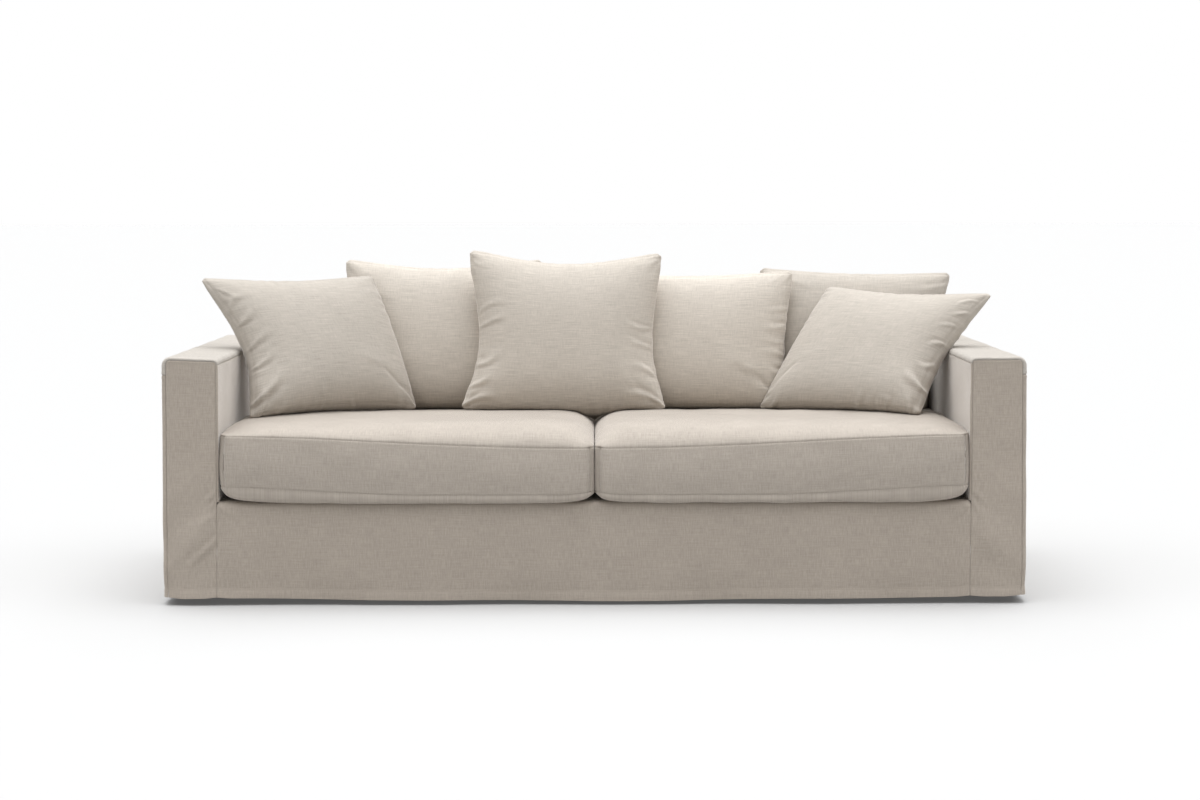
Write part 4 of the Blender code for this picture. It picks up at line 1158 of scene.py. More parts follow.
def point_normals(points, faces):
    """Unit normals of points, from the quads round them."""
    quads = points[np.array(faces)]
    normals = np.cross(quads[:, 2] - quads[:, 0], quads[:, 3] - quads[:, 1])
    total = np.zeros_like(points)
    for corner in range(4):
        np.add.at(total, np.array(faces)[:, corner], normals)
    return total / np.maximum(np.linalg.norm(total, axis=1, keepdims=True), TINY)


CREASE_BEND = 0.012             # most that the middle of a cushion's crease bends sideways
PUCKER_HEIGHT = 0.0011
PUCKER_PLACE = 0.012            # distance of the strongest puckers from the seam
PUCKER_WIDTH = 0.020
PUCKER_RATE = (110, 150)        # radians a metre along the seam
PUCKER_DRIFT = (2.0, 0.31)      # how far their spacing wanders, and how often, as a share of their rate
STRENGTH_RATE = 17              # how often they come and go, in radians a metre
LIP_DEPTH = 0.0018              # the pinched lip at the seam
LIP_PLACE = 0.0075
LIP_WIDTH = 0.0034
CUT_EASE = 1.05                 # a cushion's flat cut as a share of its laid size
FIRST_PASSES, LAST_PASSES = 10, 4
TOUCHED = 1e-5                  # a point that was pressed by more than this is held in the simulation
BACK_FACE_SHIFT = 2.0           # the back face's cloth lies this far from the front face's on the UV map
FIRST_CUSHION_SEED = 60


def puckers(run, to_seam, across, sides, rng):
    """Ripples beside two opposite seams, drawn afresh for each seam and each face."""
    total = np.zeros(len(run))
    for sign in (-1, 1):
        for face in (-1, 1):
            rate = rng.uniform(*PUCKER_RATE)
            drift = PUCKER_DRIFT[0] * np.sin(run * rate * PUCKER_DRIFT[1] + rng.uniform(0, 6))
            wave = np.sin(run * rate + drift + rng.uniform(0, 6))
            strength = 0.5 + 0.5 * np.sin(run * STRENGTH_RATE + rng.uniform(0, 6))
            height = PUCKER_HEIGHT * wave * strength * bell(to_seam - PUCKER_PLACE, PUCKER_WIDTH)
            total += np.where((np.sign(across) == sign) & (sides * face >= 0), height, 0.0)
    return total


def cushion_relief(places, sides, size, creases, seed):
    """Creases on the front face, small puckers all round, and the pinched lip beside the seam."""
    half_x, half_y = size[0] / 2, size[1] / 2
    u, v = places[:, 0], places[:, 1]
    x, y = u * half_x, v * half_y
    rng = np.random.default_rng(seed)
    scaled = [Crease(c.x0 * half_x, c.z0 * half_y, c.x1 * half_x, c.z1 * half_y, c.width, c.height,
                     rng.uniform(-CREASE_BEND, CREASE_BEND)) for c in creases]
    relief = np.where(sides > 0, crease_height(x, y, scaled), 0.0)
    to_side, to_end = (1 - np.abs(u)) * half_x, (1 - np.abs(v)) * half_y
    for to_seam, run, across in ((to_side, y, u), (to_end, x, v)):
        relief = relief + puckers(run, to_seam, across, sides, rng)
    edge = np.minimum(to_side, to_end)
    return relief - LIP_DEPTH * bell(edge - LIP_PLACE, LIP_WIDTH)


def filled(row, laid, faces, places, size, pinned, sizes):
    """The laid points after the filling has pressed the cover out, by no more than the swell limit."""
    piece = mesh_object(row["name"] + "_filling", laid, faces, finish("cushion", row["tone"]))
    flat = np.concatenate([places * np.array(size) / 2 * CUT_EASE, np.zeros((len(places), 1))], axis=1)
    move = swell(piece, flat, pinned, sizes) - laid
    mesh = piece.data
    bpy.data.objects.remove(piece, do_unlink=True)
    bpy.data.meshes.remove(mesh)
    reach = np.linalg.norm(move, axis=1, keepdims=True)
    return laid + move * np.minimum(1.0, sizes.swell_limit / np.maximum(reach, TINY))


def loose_cushion(row, supports, sizes, seed):
    """Lay a cushion's grid against its supports, fill it, crease it and press it once more."""
    points, faces, places, sides, size = cushion_grid(row, sizes.grid)
    laid = press(points, supports, sizes.contact_gap, FIRST_PASSES)
    touching = np.linalg.norm(laid - points, axis=1) > TOUCHED
    laid = filled(row, laid, faces, places, size, (sides == 0) | touching, sizes)
    fine, quads, fine_places = subdivided(laid, faces, places)
    lifted_sides = np.concatenate([places, sides[:, None]], axis=1)
    fine_sides = subdivided(lifted_sides, faces, places)[0][:, 2]
    relief = cushion_relief(fine_places, fine_sides, size, row["creases"], seed)
    fine = fine + point_normals(fine, quads) * relief[:, None]
    fine = press(fine, supports, sizes.contact_gap, LAST_PASSES)
    # each cushion's cloth is lightened or darkened by its tone: painted light and shade
    piece = mesh_object(row["name"] + "_cover", fine, quads, finish("cushion", row["tone"]))
    order = np.array([k for quad in quads for k in quad])
    shift = np.where(fine_sides[order] < 0, BACK_FACE_SHIFT, 0.0)
    cloth = fine_places[order] * np.array(size) / 2 + np.stack([shift, shift + seed], axis=1)
    piece.data.uv_layers.new(name="weave").data.foreach_set("uv", cloth.reshape(-1))
    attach(piece, BODY)
    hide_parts(row["name"])
    return Support(fine, quads)


# ---------------------------------------------------------------- seat cushions

SEAT_LENGTH = 0.707
SEAT_OVERHANG = 0.009           # the front top seam stands this far in front of the skirt
SEAT_FRONT_LEAN = 0.010         # the front low seam stands this much further forward
SEAT_FRONT_LIP = 0.006          # and the bottom panel swells further still before it turns under
SEAT_DROOP = 0.004              # where it overhangs the skirt it hangs this far below the deck
SEAT_LIP_SPAN = (-0.80, -1.0)   # the lean and the lip fade in over this stretch of the length
SEAT_FRONT_BULGE = 0.006
SEAT_SIDE_BULGE = 0.004
SEAT_CREST = 0.478      # height of the crown at the front, and at the back
SEAT_CREST_BACK = 0.456
SEAT_TOP_SEAM = 0.452   # height of the top seam away from the front
SEAT_LOW_SEAM = 0.305   # height of the bottom seam away from the front
SEAT_MEETING_DIP = 0.034        # the top seams fall where the two cushions meet
SEAT_CORNER = 0.015     # a corner is cut back by this much
CORNER_ACROSS = 0.93    # from these shares of half the width and half the length out
CORNER_ALONG = 0.90
SEAT_FRONT_END = (-1.0, -0.55)  # the front's seam line fades out over this stretch of its length
SEAT_CREST_FALL = (-0.1, 1.1)   # and the crest falls back over this one
SEAT_CROWN_SIDE = 10    # the higher the power, the nearer the seam the crown starts
SEAT_CROWN_FRONT = 5
SEAT_CROWN_UNDER = 60   # under the front
SEAT_CROWN_SOFTNESS = 0.6       # the lower, the rounder the crown turns down to its seam
SEAT_SPREAD = 0.0004    # the two cushions are laid out this much wider than the room between the arms
SEAT_COLUMNS, SEAT_ROWS = 104, 72
BAND_SPACING = 0.0085
SEAT_PASSES = 5
HALF_SEAT_GAP = 0.0006          # the cushions keep this clear of the middle between them
ON_BORDER = 0.99999
MEETING_WIDTH = 0.065
TOP_SEAM_FRONT = (0.4145, 0.034, (0.05, 1.05))      # height at the middle, its rise, and over which x
LOW_SEAM_FRONT = (0.290, 0.024, (0.45, 1.05))
LOW_SEAM_MEETING = (0.007, 0.05)                    # how much it rises where the cushions meet, and how near
ON_SEAT_FRONT = (0.462, 0.472)
SEAT_SEAM_DIP = (0.0011, 0.0016)                    # depth and width
SEAT_SEAM_PUFF = (0.0003, 0.005, 0.0040)            # height, distance from the seam and width
SEAT_SLACK = ((0.0014, 0.17), (0.0006, 0.06))       # height and wavelength
LOW_SHIFT, BAND_SHIFT = 3.0, 6.0                    # the underside and the band lie apart on the UV map
FIRST_SEAT_SEED = 40
# Soft creases of the seat cushions' bands: from (x, z) to (x, z) in the front plane
SEAT_CREASES = [
    Crease(-0.486, 0.438, -0.488, 0.320, 0.010, 0.0016),
    Crease(-0.300, 0.425, -0.310, 0.330, 0.016, 0.0010),
    Crease(0.420, 0.430, 0.424, 0.320, 0.014, 0.0010),
]


def front_top_seam(x):
    """Height of the top seam along the front."""
    middle, rise, span = TOP_SEAM_FRONT
    return middle + rise * smooth(*span, np.abs(x))


def front_low_seam(x):
    """Height of the bottom seam along the front."""
    middle, rise, span = LOW_SEAM_FRONT
    meeting_rise, width = LOW_SEAM_MEETING
    return middle + rise * smooth(*span, np.abs(x)) + meeting_rise * bell(x, width)


def lip_share(v):
    """1 along the front, 0 away from it."""
    return 1 - smooth(SEAT_LIP_SPAN[1], SEAT_LIP_SPAN[0], v)


def seat_place(u, v, level, side):
    """Plan position of a boxed cushion's surface. level runs from 1 at the top seam to -1 at the lower."""
    half_x, half_y = X_IN / 2, SEAT_LENGTH / 2
    cut = SEAT_CORNER * beyond(CORNER_ACROSS, u) ** 2 * beyond(CORNER_ALONG, v) ** 2
    bulge = 1 - level * level
    x = side * (X_IN + SEAT_SPREAD) / 2 + half_x * u - np.copysign(cut, u)
    y = Y_FRONT - SEAT_OVERHANG + half_y + half_y * v - np.copysign(cut, v)
    y = y - SEAT_FRONT_LEAN * (1 - level) / 2 * lip_share(v)
    x = x + np.where(np.abs(u) > ON_BORDER, np.copysign(SEAT_SIDE_BULGE * bulge, u), 0.0)
    y = y + np.where(np.abs(v) > ON_BORDER, np.copysign(SEAT_FRONT_BULGE * bulge, v), 0.0)
    return x, y


def seat_top(u, v, side):
    """Points of the top: the seam's height at the border, rising to the crown within it."""
    x, y = seat_place(u, v, 1.0, side)
    back = smooth(*SEAT_FRONT_END, v)
    away = SEAT_TOP_SEAM - SEAT_MEETING_DIP * bell(x, MEETING_WIDTH)
    seam = front_top_seam(x) + (away - front_top_seam(x)) * back
    crest = SEAT_CREST + (SEAT_CREST_BACK - SEAT_CREST) * smooth(*SEAT_CREST_FALL, v)
    across = np.maximum(1 - np.abs(u) ** SEAT_CROWN_SIDE, 0)
    crown = across * np.maximum(1 - np.abs(v) ** SEAT_CROWN_FRONT, 0)
    return np.stack([x, y, seam + (crest - seam) * crown ** SEAT_CROWN_SOFTNESS], axis=-1)


def seat_low(u, v, side):
    """Points of the underside: the seam's height at the border, falling to the deck within it."""
    x, y = seat_place(u, v, -1.0, side)
    back = smooth(*SEAT_FRONT_END, v)
    seam = front_low_seam(x) + (SEAT_LOW_SEAM - front_low_seam(x)) * back
    power = np.where(v < 0, SEAT_CROWN_UNDER, SEAT_CROWN_SIDE)
    across = np.maximum(1 - np.abs(u) ** SEAT_CROWN_SIDE, 0)
    crown = np.sqrt(across * np.maximum(1 - np.abs(v) ** power, 0))
    y = y - SEAT_FRONT_LIP * lip_share(v) * crown
    ground = Z_DECK - SEAT_DROOP * smooth(0.0, SEAT_FRONT_LEAN, Y_FRONT - y)
    return np.stack([x, y, seam + (ground - seam) * crown], axis=-1)


def crowded(count):
    """Values from -1 to 1, crowded towards both ends."""
    steps = np.sin(math.pi / 2 * np.linspace(-1.0, 1.0, count + 1))
    steps[0], steps[-1] = -1.0, 1.0
    return steps


def border_places(rows, columns):
    """Grid places round a border, row first: along the front, up one side, and back again."""
    ring = [(0, i) for i in range(columns - 1)] + [(j, columns - 1) for j in range(rows - 1)]
    ring += [(rows - 1, i) for i in range(columns - 1, 0, -1)] + [(j, 0) for j in range(rows - 1, 0, -1)]
    return ring


def nearest_border(points):
    """Distance of each point of a grid from the nearest of its borders."""
    distances = border_distances(points)
    return np.minimum.reduce([distances[k] for k in distances]).reshape(-1)


def cap_faces(rows, columns, plan):
    """Faces and UVs of the top and the underside, whose points stand first in the mesh."""
    faces, uvs = [], []
    count = rows * columns
    for j in range(rows - 1):
        for i in range(columns - 1):
            a = j * columns + i
            quad = [a, a + 1, a + columns + 1, a + columns]
            faces.append(quad)
            uvs.append([tuple(plan[0][k]) for k in quad])
            quad = [quad[0], quad[3], quad[2], quad[1]]
            faces.append([count + k for k in quad])
            uvs.append([(plan[1][k][0] + LOW_SHIFT, plan[1][k][1]) for k in quad])
    return faces, uvs


def band_faces(loops, levels, ring_top, drop):
    """Faces and UVs of the band, between each loop of points and the next one down."""
    steps = np.linalg.norm(np.roll(ring_top, -1, axis=0) - ring_top, axis=1)
    around = np.concatenate([[0.0], np.cumsum(steps)]) + BAND_SHIFT
    faces, uvs = [], []
    for (above, below), (high, deep) in zip(zip(loops, loops[1:]), zip(levels, levels[1:])):
        up, down = drop * high / 2, drop * deep / 2
        for k in range(len(above)):
            n = (k + 1) % len(above)
            faces.append([above[k], below[k], below[n], above[n]])
            uvs.append([(around[k], up), (around[k], down), (around[k + 1], down), (around[k + 1], up)])
    return faces, uvs


def seat_shell(side):
    """A boxed cushion: its points, their distances from a seam, its faces, and each face's UVs."""
    us, vs = crowded(SEAT_COLUMNS), crowded(SEAT_ROWS)
    columns, rows = len(us), len(vs)
    u, v = np.meshgrid(us, vs)
    top, low = seat_top(u, v, side), seat_low(u, v, side)
    ring = border_places(rows, columns)
    ring_u, ring_v = us[[i for j, i in ring]], vs[[j for j, i in ring]]
    ring_top = np.array([top[key] for key in ring])
    upper, lower = ring_top[:, 2], np.array([low[key][2] for key in ring])
    drop = float(np.mean(upper - lower))
    count, total = rows * columns, len(ring)
    points = [top.reshape(-1, 3), low.reshape(-1, 3)]
    plan = [p[:, :2] for p in points]
    seam_distance = [nearest_border(top), nearest_border(low)]
    levels = [1.0]
    loops = [[j * columns + i for j, i in ring]]
    for distance in spaced(drop, BAND_SPACING)[1:-1]:
        level = 1 - 2 * distance / drop
        x, y = seat_place(ring_u, ring_v, level, side)
        z = lower + (upper - lower) * (level + 1) / 2
        first = 2 * count + (len(levels) - 1) * total
        points.append(np.stack([x, y, z], axis=1))
        seam_distance.append(np.full(total, min(distance, drop - distance)))
        levels.append(level)
        loops.append(list(range(first, first + total)))
    levels.append(-1.0)
    loops.append([count + j * columns + i for j, i in ring])
    faces, uvs = cap_faces(rows, columns, plan)
    band_quads, band_uvs = band_faces(loops, levels, ring_top, drop)
    return np.concatenate(points), np.concatenate(seam_distance), faces + band_quads, uvs + band_uvs


def seat_cushion(side, supports, sizes, seed):
    """Shape a boxed cushion, add its seams, slack and creases, and press it against its supports."""
    name = "seat_cushion_" + ("right" if side > 0 else "left")
    points, seam_distance, faces, uvs = seat_shell(side)
    dip, dip_width = SEAT_SEAM_DIP
    puff, puff_place, puff_width = SEAT_SEAM_PUFF
    relief = -dip * bell(seam_distance, dip_width) + puff * bell(seam_distance - puff_place, puff_width)
    for number, (height, wavelength) in enumerate(SEAT_SLACK):
        relief = relief + height * ripples(points, wavelength, seed + number)
    on_front = smooth(*ON_SEAT_FRONT, -points[:, 1])
    relief = relief + on_front * crease_height(points[:, 0], points[:, 2], SEAT_CREASES)
    points = points + point_normals(points, faces) * relief[:, None]
    points = press(points, supports, sizes.contact_gap, SEAT_PASSES)
    points[:, 0] = side * np.maximum(side * points[:, 0], HALF_SEAT_GAP)
    piece = mesh_object(name + "_cover", points, faces, finish("seat"))
    piece.data.uv_layers.new(name="weave").data.foreach_set("uv", np.array(uvs).reshape(-1))
    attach(piece, BODY)
    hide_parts(name)


# ---------------------------------------------------------------- hem stitches

THREAD_SIDES = 6
THREAD_RINGS = 4
THREAD_PROUD = 0.2      # a stitch's middle stands this share of its thickness out of the cloth
THREAD_DARK = (0.44, 0.39, 0.33, 1.0)
THREAD_LIGHT = (0.56, 0.50, 0.43, 1.0)
THREAD_FLECKS = 900.0
THREAD_ROUGHNESS = 0.7


def stitch_tree(material, sizes):
    """Stitches along a line of edges: a thread lies on the cloth at even steps."""
    tree = bpy.data.node_groups.new("hem stitches", "GeometryNodeTree")
    group_socket(tree, "Geometry", "INPUT", "NodeSocketGeometry")
    group_socket(tree, "Pitch", "INPUT", "NodeSocketFloat", sizes.stitch_pitch)
    group_socket(tree, "Length", "INPUT", "NodeSocketFloat", sizes.stitch_length)
    group_socket(tree, "Thread", "INPUT", "NodeSocketFloat", sizes.thread)
    group_socket(tree, "Geometry", "OUTPUT", "NodeSocketGeometry")
    source, result = tree.nodes.new("NodeGroupInput"), tree.nodes.new("NodeGroupOutput")
    to_curve = tree.nodes.new("GeometryNodeMeshToCurve")
    resample = tree.nodes.new("GeometryNodeResampleCurve")
    resample.mode = "LENGTH"
    thread = tree.nodes.new("GeometryNodeMeshUVSphere")
    # a ball 1 across, scaled to each stitch
    set_inputs(thread, {"Segments": THREAD_SIDES, "Rings": THREAD_RINGS, "Radius": 0.5})
    place = tree.nodes.new("GeometryNodeInstanceOnPoints")
    tangent = tree.nodes.new("GeometryNodeInputTangent")
    turn = tree.nodes.new("FunctionNodeAlignRotationToVector")
    turn.axis = "X"
    scale = tree.nodes.new("ShaderNodeCombineXYZ")
    realize = tree.nodes.new("GeometryNodeRealizeInstances")
    paint = tree.nodes.new("GeometryNodeSetMaterial")
    paint.inputs["Material"].default_value = material
    link_all(
        tree,
        (source, "Geometry", to_curve, "Mesh"),
        (to_curve, "Curve", resample, "Curve"),
        (source, "Pitch", resample, "Length"),
        (resample, "Curve", place, "Points"),
        (thread, "Mesh", place, "Instance"),
        (tangent, "Tangent", turn, "Vector"),
        (turn, "Rotation", place, "Rotation"),
        (source, "Length", scale, "X"),
        (source, "Thread", scale, "Y"),
        (source, "Thread", scale, "Z"),
        (scale, "Vector", place, "Scale"),
        (place, "Instances", realize, "Geometry"),
        (realize, "Geometry", paint, "Geometry"),
        (paint, "Geometry", result, "Geometry"),
    )
    return tree


def thread_finish():
    """The sewing thread's finish, flecked between a darker and a lighter tone."""
    found = bpy.data.materials.get("sewing_thread")
    if found:
        return found
    material, tree, shader = new_finish("sewing_thread")
    place, noise = tree.nodes.new("ShaderNodeTexCoord"), tree.nodes.new("ShaderNodeTexNoise")
    noise.inputs["Scale"].default_value = THREAD_FLECKS
    tree.links.new(place.outputs["Object"], noise.inputs["Vector"])
    shade_between(tree, noise.outputs[0], THREAD_DARK, THREAD_LIGHT, shader)
    shader.inputs["Roughness"].default_value = THREAD_ROUGHNESS
    return material


def hem_stitches(name, piece, path, sizes):
    """Stitches on a panel at the top of its hem, along a path of tailored points."""
    surface = BVHTree.FromPolygons([v.co.copy() for v in piece.data.vertices],
                                   [tuple(p.vertices) for p in piece.data.polygons])
    points = []
    for point in drape(path):
        spot, normal, _, _ = surface.find_nearest(Vector(point))
        points.append(spot + normal * sizes.thread * THREAD_PROUD)
    mesh = bpy.data.meshes.new(name)
    mesh.from_pydata(points, [(k, k + 1) for k in range(len(points) - 1)], [])
    line = bpy.data.objects.new(name, mesh)
    bpy.context.scene.collection.objects.link(line)
    material = thread_finish()
    tree = bpy.data.node_groups.get("hem stitches") or stitch_tree(material, sizes)
    modifier = line.modifiers.new("stitches", "NODES")
    modifier.node_group = tree
    values = {"Pitch": sizes.stitch_pitch, "Length": sizes.stitch_length, "Thread": sizes.thread}
    for item in tree.interface.items_tree:
        if item.in_out == "INPUT" and item.name in values:
            modifier[item.identifier] = values[item.name]
    shaped = line.evaluated_get(bpy.context.evaluated_depsgraph_get())
    made = bpy.data.meshes.new_from_object(shaped)
    line.modifiers.clear()
    line.data = made
    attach(line, BODY)
    return line


# ---------------------------------------------------------------- operators

# Borders of a panel that hangs to the floor
HEMMED = {"seams": ("first", "last", "bottom"), "hems": ("top",)}
ARM_HEM = (0.008, 0.018)        # an arm's stitches end this far from its inner and its outer face
BACK_HEM = 0.018                # the back's end this far from its corners
SKIRT_HEM = -0.001              # the skirt's run on a little way past the arms' inner faces
ARM_STITCH_POINTS, LONG_STITCH_POINTS = 50, 400
BACK_POINT_SPACING = 1.3        # the outside back's spacing of points, as a share of the others'
# Panels that a cushion can lie on or lean on
LEAN_ON = ("arm_inside", "arm_top", "back_inside", "back_top", "deck", "front_skirt")


def panel(node, patches, outward, hem_paths=()):
    """Make the panel of a node, with its stitches."""
    sizes = bpy.context.scene.slipcover_sizes
    # the tops of the arms and back take the lighter copy of the cover: painted light from above
    material = finish("bleached" if "_top" in node else "cover")
    piece = cloth_panel(node + "_panel", patches, outward, sizes, material)
    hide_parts(node)
    stitches = [hem_stitches(f"{node}_stitches", piece, path, sizes) for path in hem_paths]


def arm_panels(side, word, step, hem):
    """The four panels of an arm: front, outside, top and inside."""
    stitched = np.linspace(X_IN + ARM_HEM[0], X_OUT - ARM_HEM[1], ARM_STITCH_POINTS)
    line = np.array([(side * x, Y_FRONT, hem) for x in stitched])
    panel("arm_front_" + word, [{"points": mirrored(arm_front_points(step), side), **HEMMED}],
          (0, -1, 0), [line])
    points = mirrored(arm_outside_points(step), side)
    line = points[np.argmin(np.abs(points[:, 0, 2] - hem))].copy()
    line[:, 2] = hem
    panel("arm_outside_" + word, [{"points": points, **HEMMED}],
          (side, 0, 0), [line])
    patch = {"points": mirrored(arm_top_points(step), side),
             "seams": ("first", "top"), "soft_seams": ("last", "bottom")}
    panel("arm_top_" + word, [patch], (0, 0, 1))
    patch = {"points": mirrored(arm_inside_points(step), side),
             "seams": ("first",), "soft_seams": ("bottom",)}
    panel("arm_inside_" + word, [patch], (-side, 0, 0))


def long_hem(y, edge, hem):
    """A line of stitches from one edge to the other, at the height of the hem."""
    return np.array([(x, y, hem) for x in np.linspace(-edge, edge, LONG_STITCH_POINTS)])


class SLIPCOVER_OT_body_cover(bpy.types.Operator):
    """Cut, drape and hem the panels of the body cover"""
    bl_idname = "slipcover.body_cover"
    bl_label = "Body cover"

    def execute(self, context):
        sizes = context.scene.slipcover_sizes
        step, hem = sizes.point_spacing, sizes.hem_width
        for side, word in ((-1, "left"), (1, "right")):
            arm_panels(side, word, step, hem)
        panel("back_outside", [{"points": back_outside_points(step * BACK_POINT_SPACING), **HEMMED}],
              (0, 1, 0), [long_hem(HALF_DEPTH, X_OUT - BACK_HEM, hem)])
        panel("back_top", back_top_patches(step),
              (0, 0, 1))
        panel("back_inside", [{"points": back_inside_points(step), "seams": ("bottom",)}],
              (0, -1, 0))
        panel("front_skirt", [{"points": front_skirt_points(step), **HEMMED}],
              (0, -1, 0), [long_hem(Y_FRONT, X_IN - SKIRT_HEM, hem)])
        panel("deck", [{"points": deck_points(step), "seams": ()}],
              (0, 0, 1))
        return {"FINISHED"}


def supports_so_far():
    """What a cushion can touch: the panels it can lean on, and the cushions already laid."""
    pieces = bpy.context.scene.objects
    panels = [o for o in pieces if o.name.endswith("_panel") and o.name.startswith(LEAN_ON)]
    return [mesh_support(o) for o in panels + [o for o in pieces if o.name.endswith("_cover")]]


def lay_cushions(kind, sizes):
    """Lay the loose cushions of one kind in their order, each against all that are there before it."""
    supports = supports_so_far()
    for number, row in enumerate(LOOSE_CUSHIONS):
        if row["kind"] == kind:
            supports.append(loose_cushion(row, supports, sizes, FIRST_CUSHION_SEED + number))


class SLIPCOVER_OT_seat_cushions(bpy.types.Operator):
    """Shape the two boxed seat cushions on the deck"""
    bl_idname = "slipcover.seat_cushions"
    bl_label = "Seat cushions"

    def execute(self, context):
        supports = supports_so_far()
        for side in (-1, 1):
            seat_cushion(side, supports, context.scene.cushion_sizes, FIRST_SEAT_SEED + side)
        return {"FINISHED"}


class SLIPCOVER_OT_back_cushions(bpy.types.Operator):
    """Fill the three back cushions and lay them against the back"""
    bl_idname = "slipcover.back_cushions"
    bl_label = "Back cushions"

    def execute(self, context):
        lay_cushions("back", context.scene.cushion_sizes)
        return {"FINISHED"}


class SLIPCOVER_OT_scatter_cushions(bpy.types.Operator):
    """Fill the three scatter cushions and lay them against the back cushions and the arms"""
    bl_idname = "slipcover.scatter_cushions"
    bl_label = "Scatter cushions"

    def execute(self, context):
        lay_cushions("scatter", context.scene.cushion_sizes)
        return {"FINISHED"}


# ---------------------------------------------------------------- studio

# Name, degrees that it comes from in front, degrees to the side, width in degrees, share of the strength
SOFT_LIGHTS = (("soft_left", 10.0, -28.0, 65.0, 0.318), ("soft_right", 10.0, 28.0, 65.0, 0.328),
               ("soft_behind", -20.0, 0.0, 60.0, 0.385))
LIGHT_COLOUR = (0.955, 0.974, 1.0)
LAMP_SPREAD, LAMP_PLACE = 10, (-1.0, 4.0)       # where the lamps hang. Only their angles matter
WHITE = (1.0, 1.0, 1.0, 1.0)
WARM_WHITE = (1.0, 0.95, 0.88, 1.0)
FLOOR_COLOUR = (0.485, 0.482, 0.478, 1.0)
FLOOR_ROUGHNESS = 0.9
FLOOR_SPECULAR = 0.1
FLOOR_X, FLOOR_Y = (-60, 60), (-30, 90)
FRAME_WIDTH = 1200.0            # the final picture's width in pixels
FOCAL_LENGTH = 2121.0           # in pixels
SENSOR_WIDTH = 36.0
VIEW_END = 300.0
CAMERA_PLACE = (0.0, -6.107, 1.0747)
CAMERA_DOWN, CAMERA_TURN, CAMERA_ROLL = 5.39, -0.149, -0.12     # degrees


def studio_floor(look):
    """A wide pale floor, a little see-through, so that it fades into the white behind it."""
    mesh = bpy.data.meshes.new("floor")
    (x0, x1), (y0, y1) = FLOOR_X, FLOOR_Y
    corners = [(x, y, look.floor_height) for x, y in ((x0, y0), (x1, y0), (x1, y1), (x0, y1))]
    mesh.from_pydata(corners, [], [(0, 1, 2, 3)])
    floor = bpy.data.objects.new("floor", mesh)
    bpy.context.scene.collection.objects.link(floor)
    paint, _, shader = new_finish("floor_white")
    set_inputs(shader, {"Base Color": FLOOR_COLOUR, "Roughness": FLOOR_ROUGHNESS,
                        "Specular IOR Level": FLOOR_SPECULAR, "Alpha": look.floor_cover})
    mesh.materials.append(paint)


def studio_world(look):
    """White where the camera looks past everything, and a warmer, dimmer light from all round."""
    world = bpy.data.worlds.new("studio")
    bpy.context.scene.world = world
    world.use_nodes = True
    tree = world.node_tree
    tree.nodes.clear()
    output = tree.nodes.new("ShaderNodeOutputWorld")
    seen, felt = tree.nodes.new("ShaderNodeBackground"), tree.nodes.new("ShaderNodeBackground")
    seen.inputs["Color"].default_value = WHITE
    set_inputs(felt, {"Color": WARM_WHITE, "Strength": look.ambient})
    ray = tree.nodes.new("ShaderNodeLightPath")
    mix = tree.nodes.new("ShaderNodeMixShader")
    tree.links.new(ray.outputs["Is Camera Ray"], mix.inputs[0])
    tree.links.new(felt.outputs[0], mix.inputs[1])
    tree.links.new(seen.outputs[0], mix.inputs[2])
    tree.links.new(mix.outputs[0], output.inputs["Surface"])


def soft_lights(look):
    """Wide suns that light the set from above: two a little in front, and one behind."""
    for name, forward, tilt, angle, share in SOFT_LIGHTS:
        light = bpy.data.lights.new(name, "SUN")
        light.energy = look.overhead * share
        light.angle = math.radians(angle)
        light.color = LIGHT_COLOUR
        lamp = bpy.data.objects.new(name, light)
        lamp.location = (tilt / LAMP_SPREAD, *LAMP_PLACE)
        lamp.rotation_euler = (math.radians(forward), math.radians(tilt), 0.0)
        bpy.context.scene.collection.objects.link(lamp)


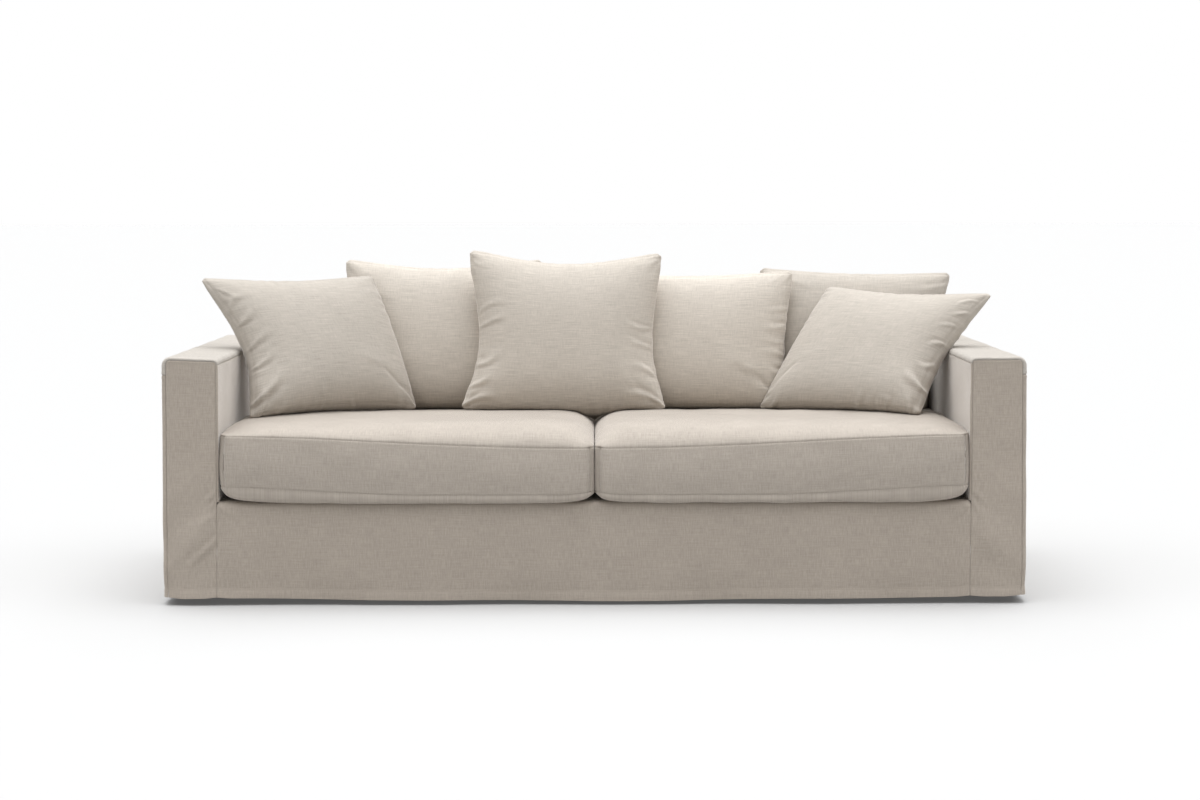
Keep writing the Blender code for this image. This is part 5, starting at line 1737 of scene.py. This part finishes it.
def studio_camera():
    """The camera, in front of the set and looking slightly down."""
    camera = bpy.data.cameras.new("camera")
    camera.sensor_width = SENSOR_WIDTH
    camera.lens = FOCAL_LENGTH * SENSOR_WIDTH / FRAME_WIDTH
    camera.clip_end = VIEW_END
    viewer = bpy.data.objects.new("camera", camera)
    viewer.rotation_mode = "ZXY"
    viewer.matrix_world = (Matrix.Translation(CAMERA_PLACE)
                           @ Matrix.Rotation(math.radians(CAMERA_TURN), 4, "Z")
                           @ Matrix.Rotation(math.radians(90 - CAMERA_DOWN), 4, "X")
                           @ Matrix.Rotation(math.radians(CAMERA_ROLL), 4, "Z"))
    bpy.context.scene.collection.objects.link(viewer)
    bpy.context.scene.camera = viewer


class SLIPCOVER_OT_studio(bpy.types.Operator):
    """Make the pale floor, the soft light and the camera"""
    bl_idname = "slipcover.studio"
    bl_label = "Studio"

    def execute(self, context):
        look = context.scene.studio_look
        studio_floor(look)
        studio_world(look)
        soft_lights(look)
        studio_camera()
        context.scene.view_settings.view_transform = "Standard"
        return {"FINISHED"}


class SLIPCOVER_PT_panel(bpy.types.Panel):
    """Sizes, colours and pieces of the slipcover set"""
    bl_idname = "SLIPCOVER_PT_panel"
    bl_label = "Linen slipcover set"
    bl_space_type = "VIEW_3D"
    bl_region_type = "UI"
    bl_category = "Slipcover"

    def draw(self, context):
        for group in ("slipcover_sizes", "cushion_sizes", "linen_colours", "studio_look"):
            properties = getattr(context.scene, group)
            box = self.layout.box()
            for key in properties.__annotations__:
                box.prop(properties, key)
        for operator in OPERATORS:
            self.layout.operator(operator.bl_idname)


GROUPS = {"slipcover_sizes": CoverSizes, "cushion_sizes": CushionSizes,
          "linen_colours": LinenColours, "studio_look": StudioLook}
OPERATORS = (SLIPCOVER_OT_body_cover, SLIPCOVER_OT_seat_cushions, SLIPCOVER_OT_back_cushions,
             SLIPCOVER_OT_scatter_cushions, SLIPCOVER_OT_studio)


def register():
    for name, group in GROUPS.items():
        bpy.utils.register_class(group)
        setattr(bpy.types.Scene, name, bpy.props.PointerProperty(type=group))
    for operator in OPERATORS:
        bpy.utils.register_class(operator)
    bpy.utils.register_class(SLIPCOVER_PT_panel)


def unregister():
    bpy.utils.unregister_class(SLIPCOVER_PT_panel)
    for operator in OPERATORS[::-1]:
        bpy.utils.unregister_class(operator)
    for name, group in list(GROUPS.items())[::-1]:
        delattr(bpy.types.Scene, name)
        bpy.utils.unregister_class(group)


def main():
    register()
    bpy.ops.slipcover.body_cover()
    bpy.ops.slipcover.seat_cushions()
    bpy.ops.slipcover.back_cushions()
    bpy.ops.slipcover.scatter_cushions()
    bpy.ops.slipcover.studio()


if __name__ == "__main__":
    main()
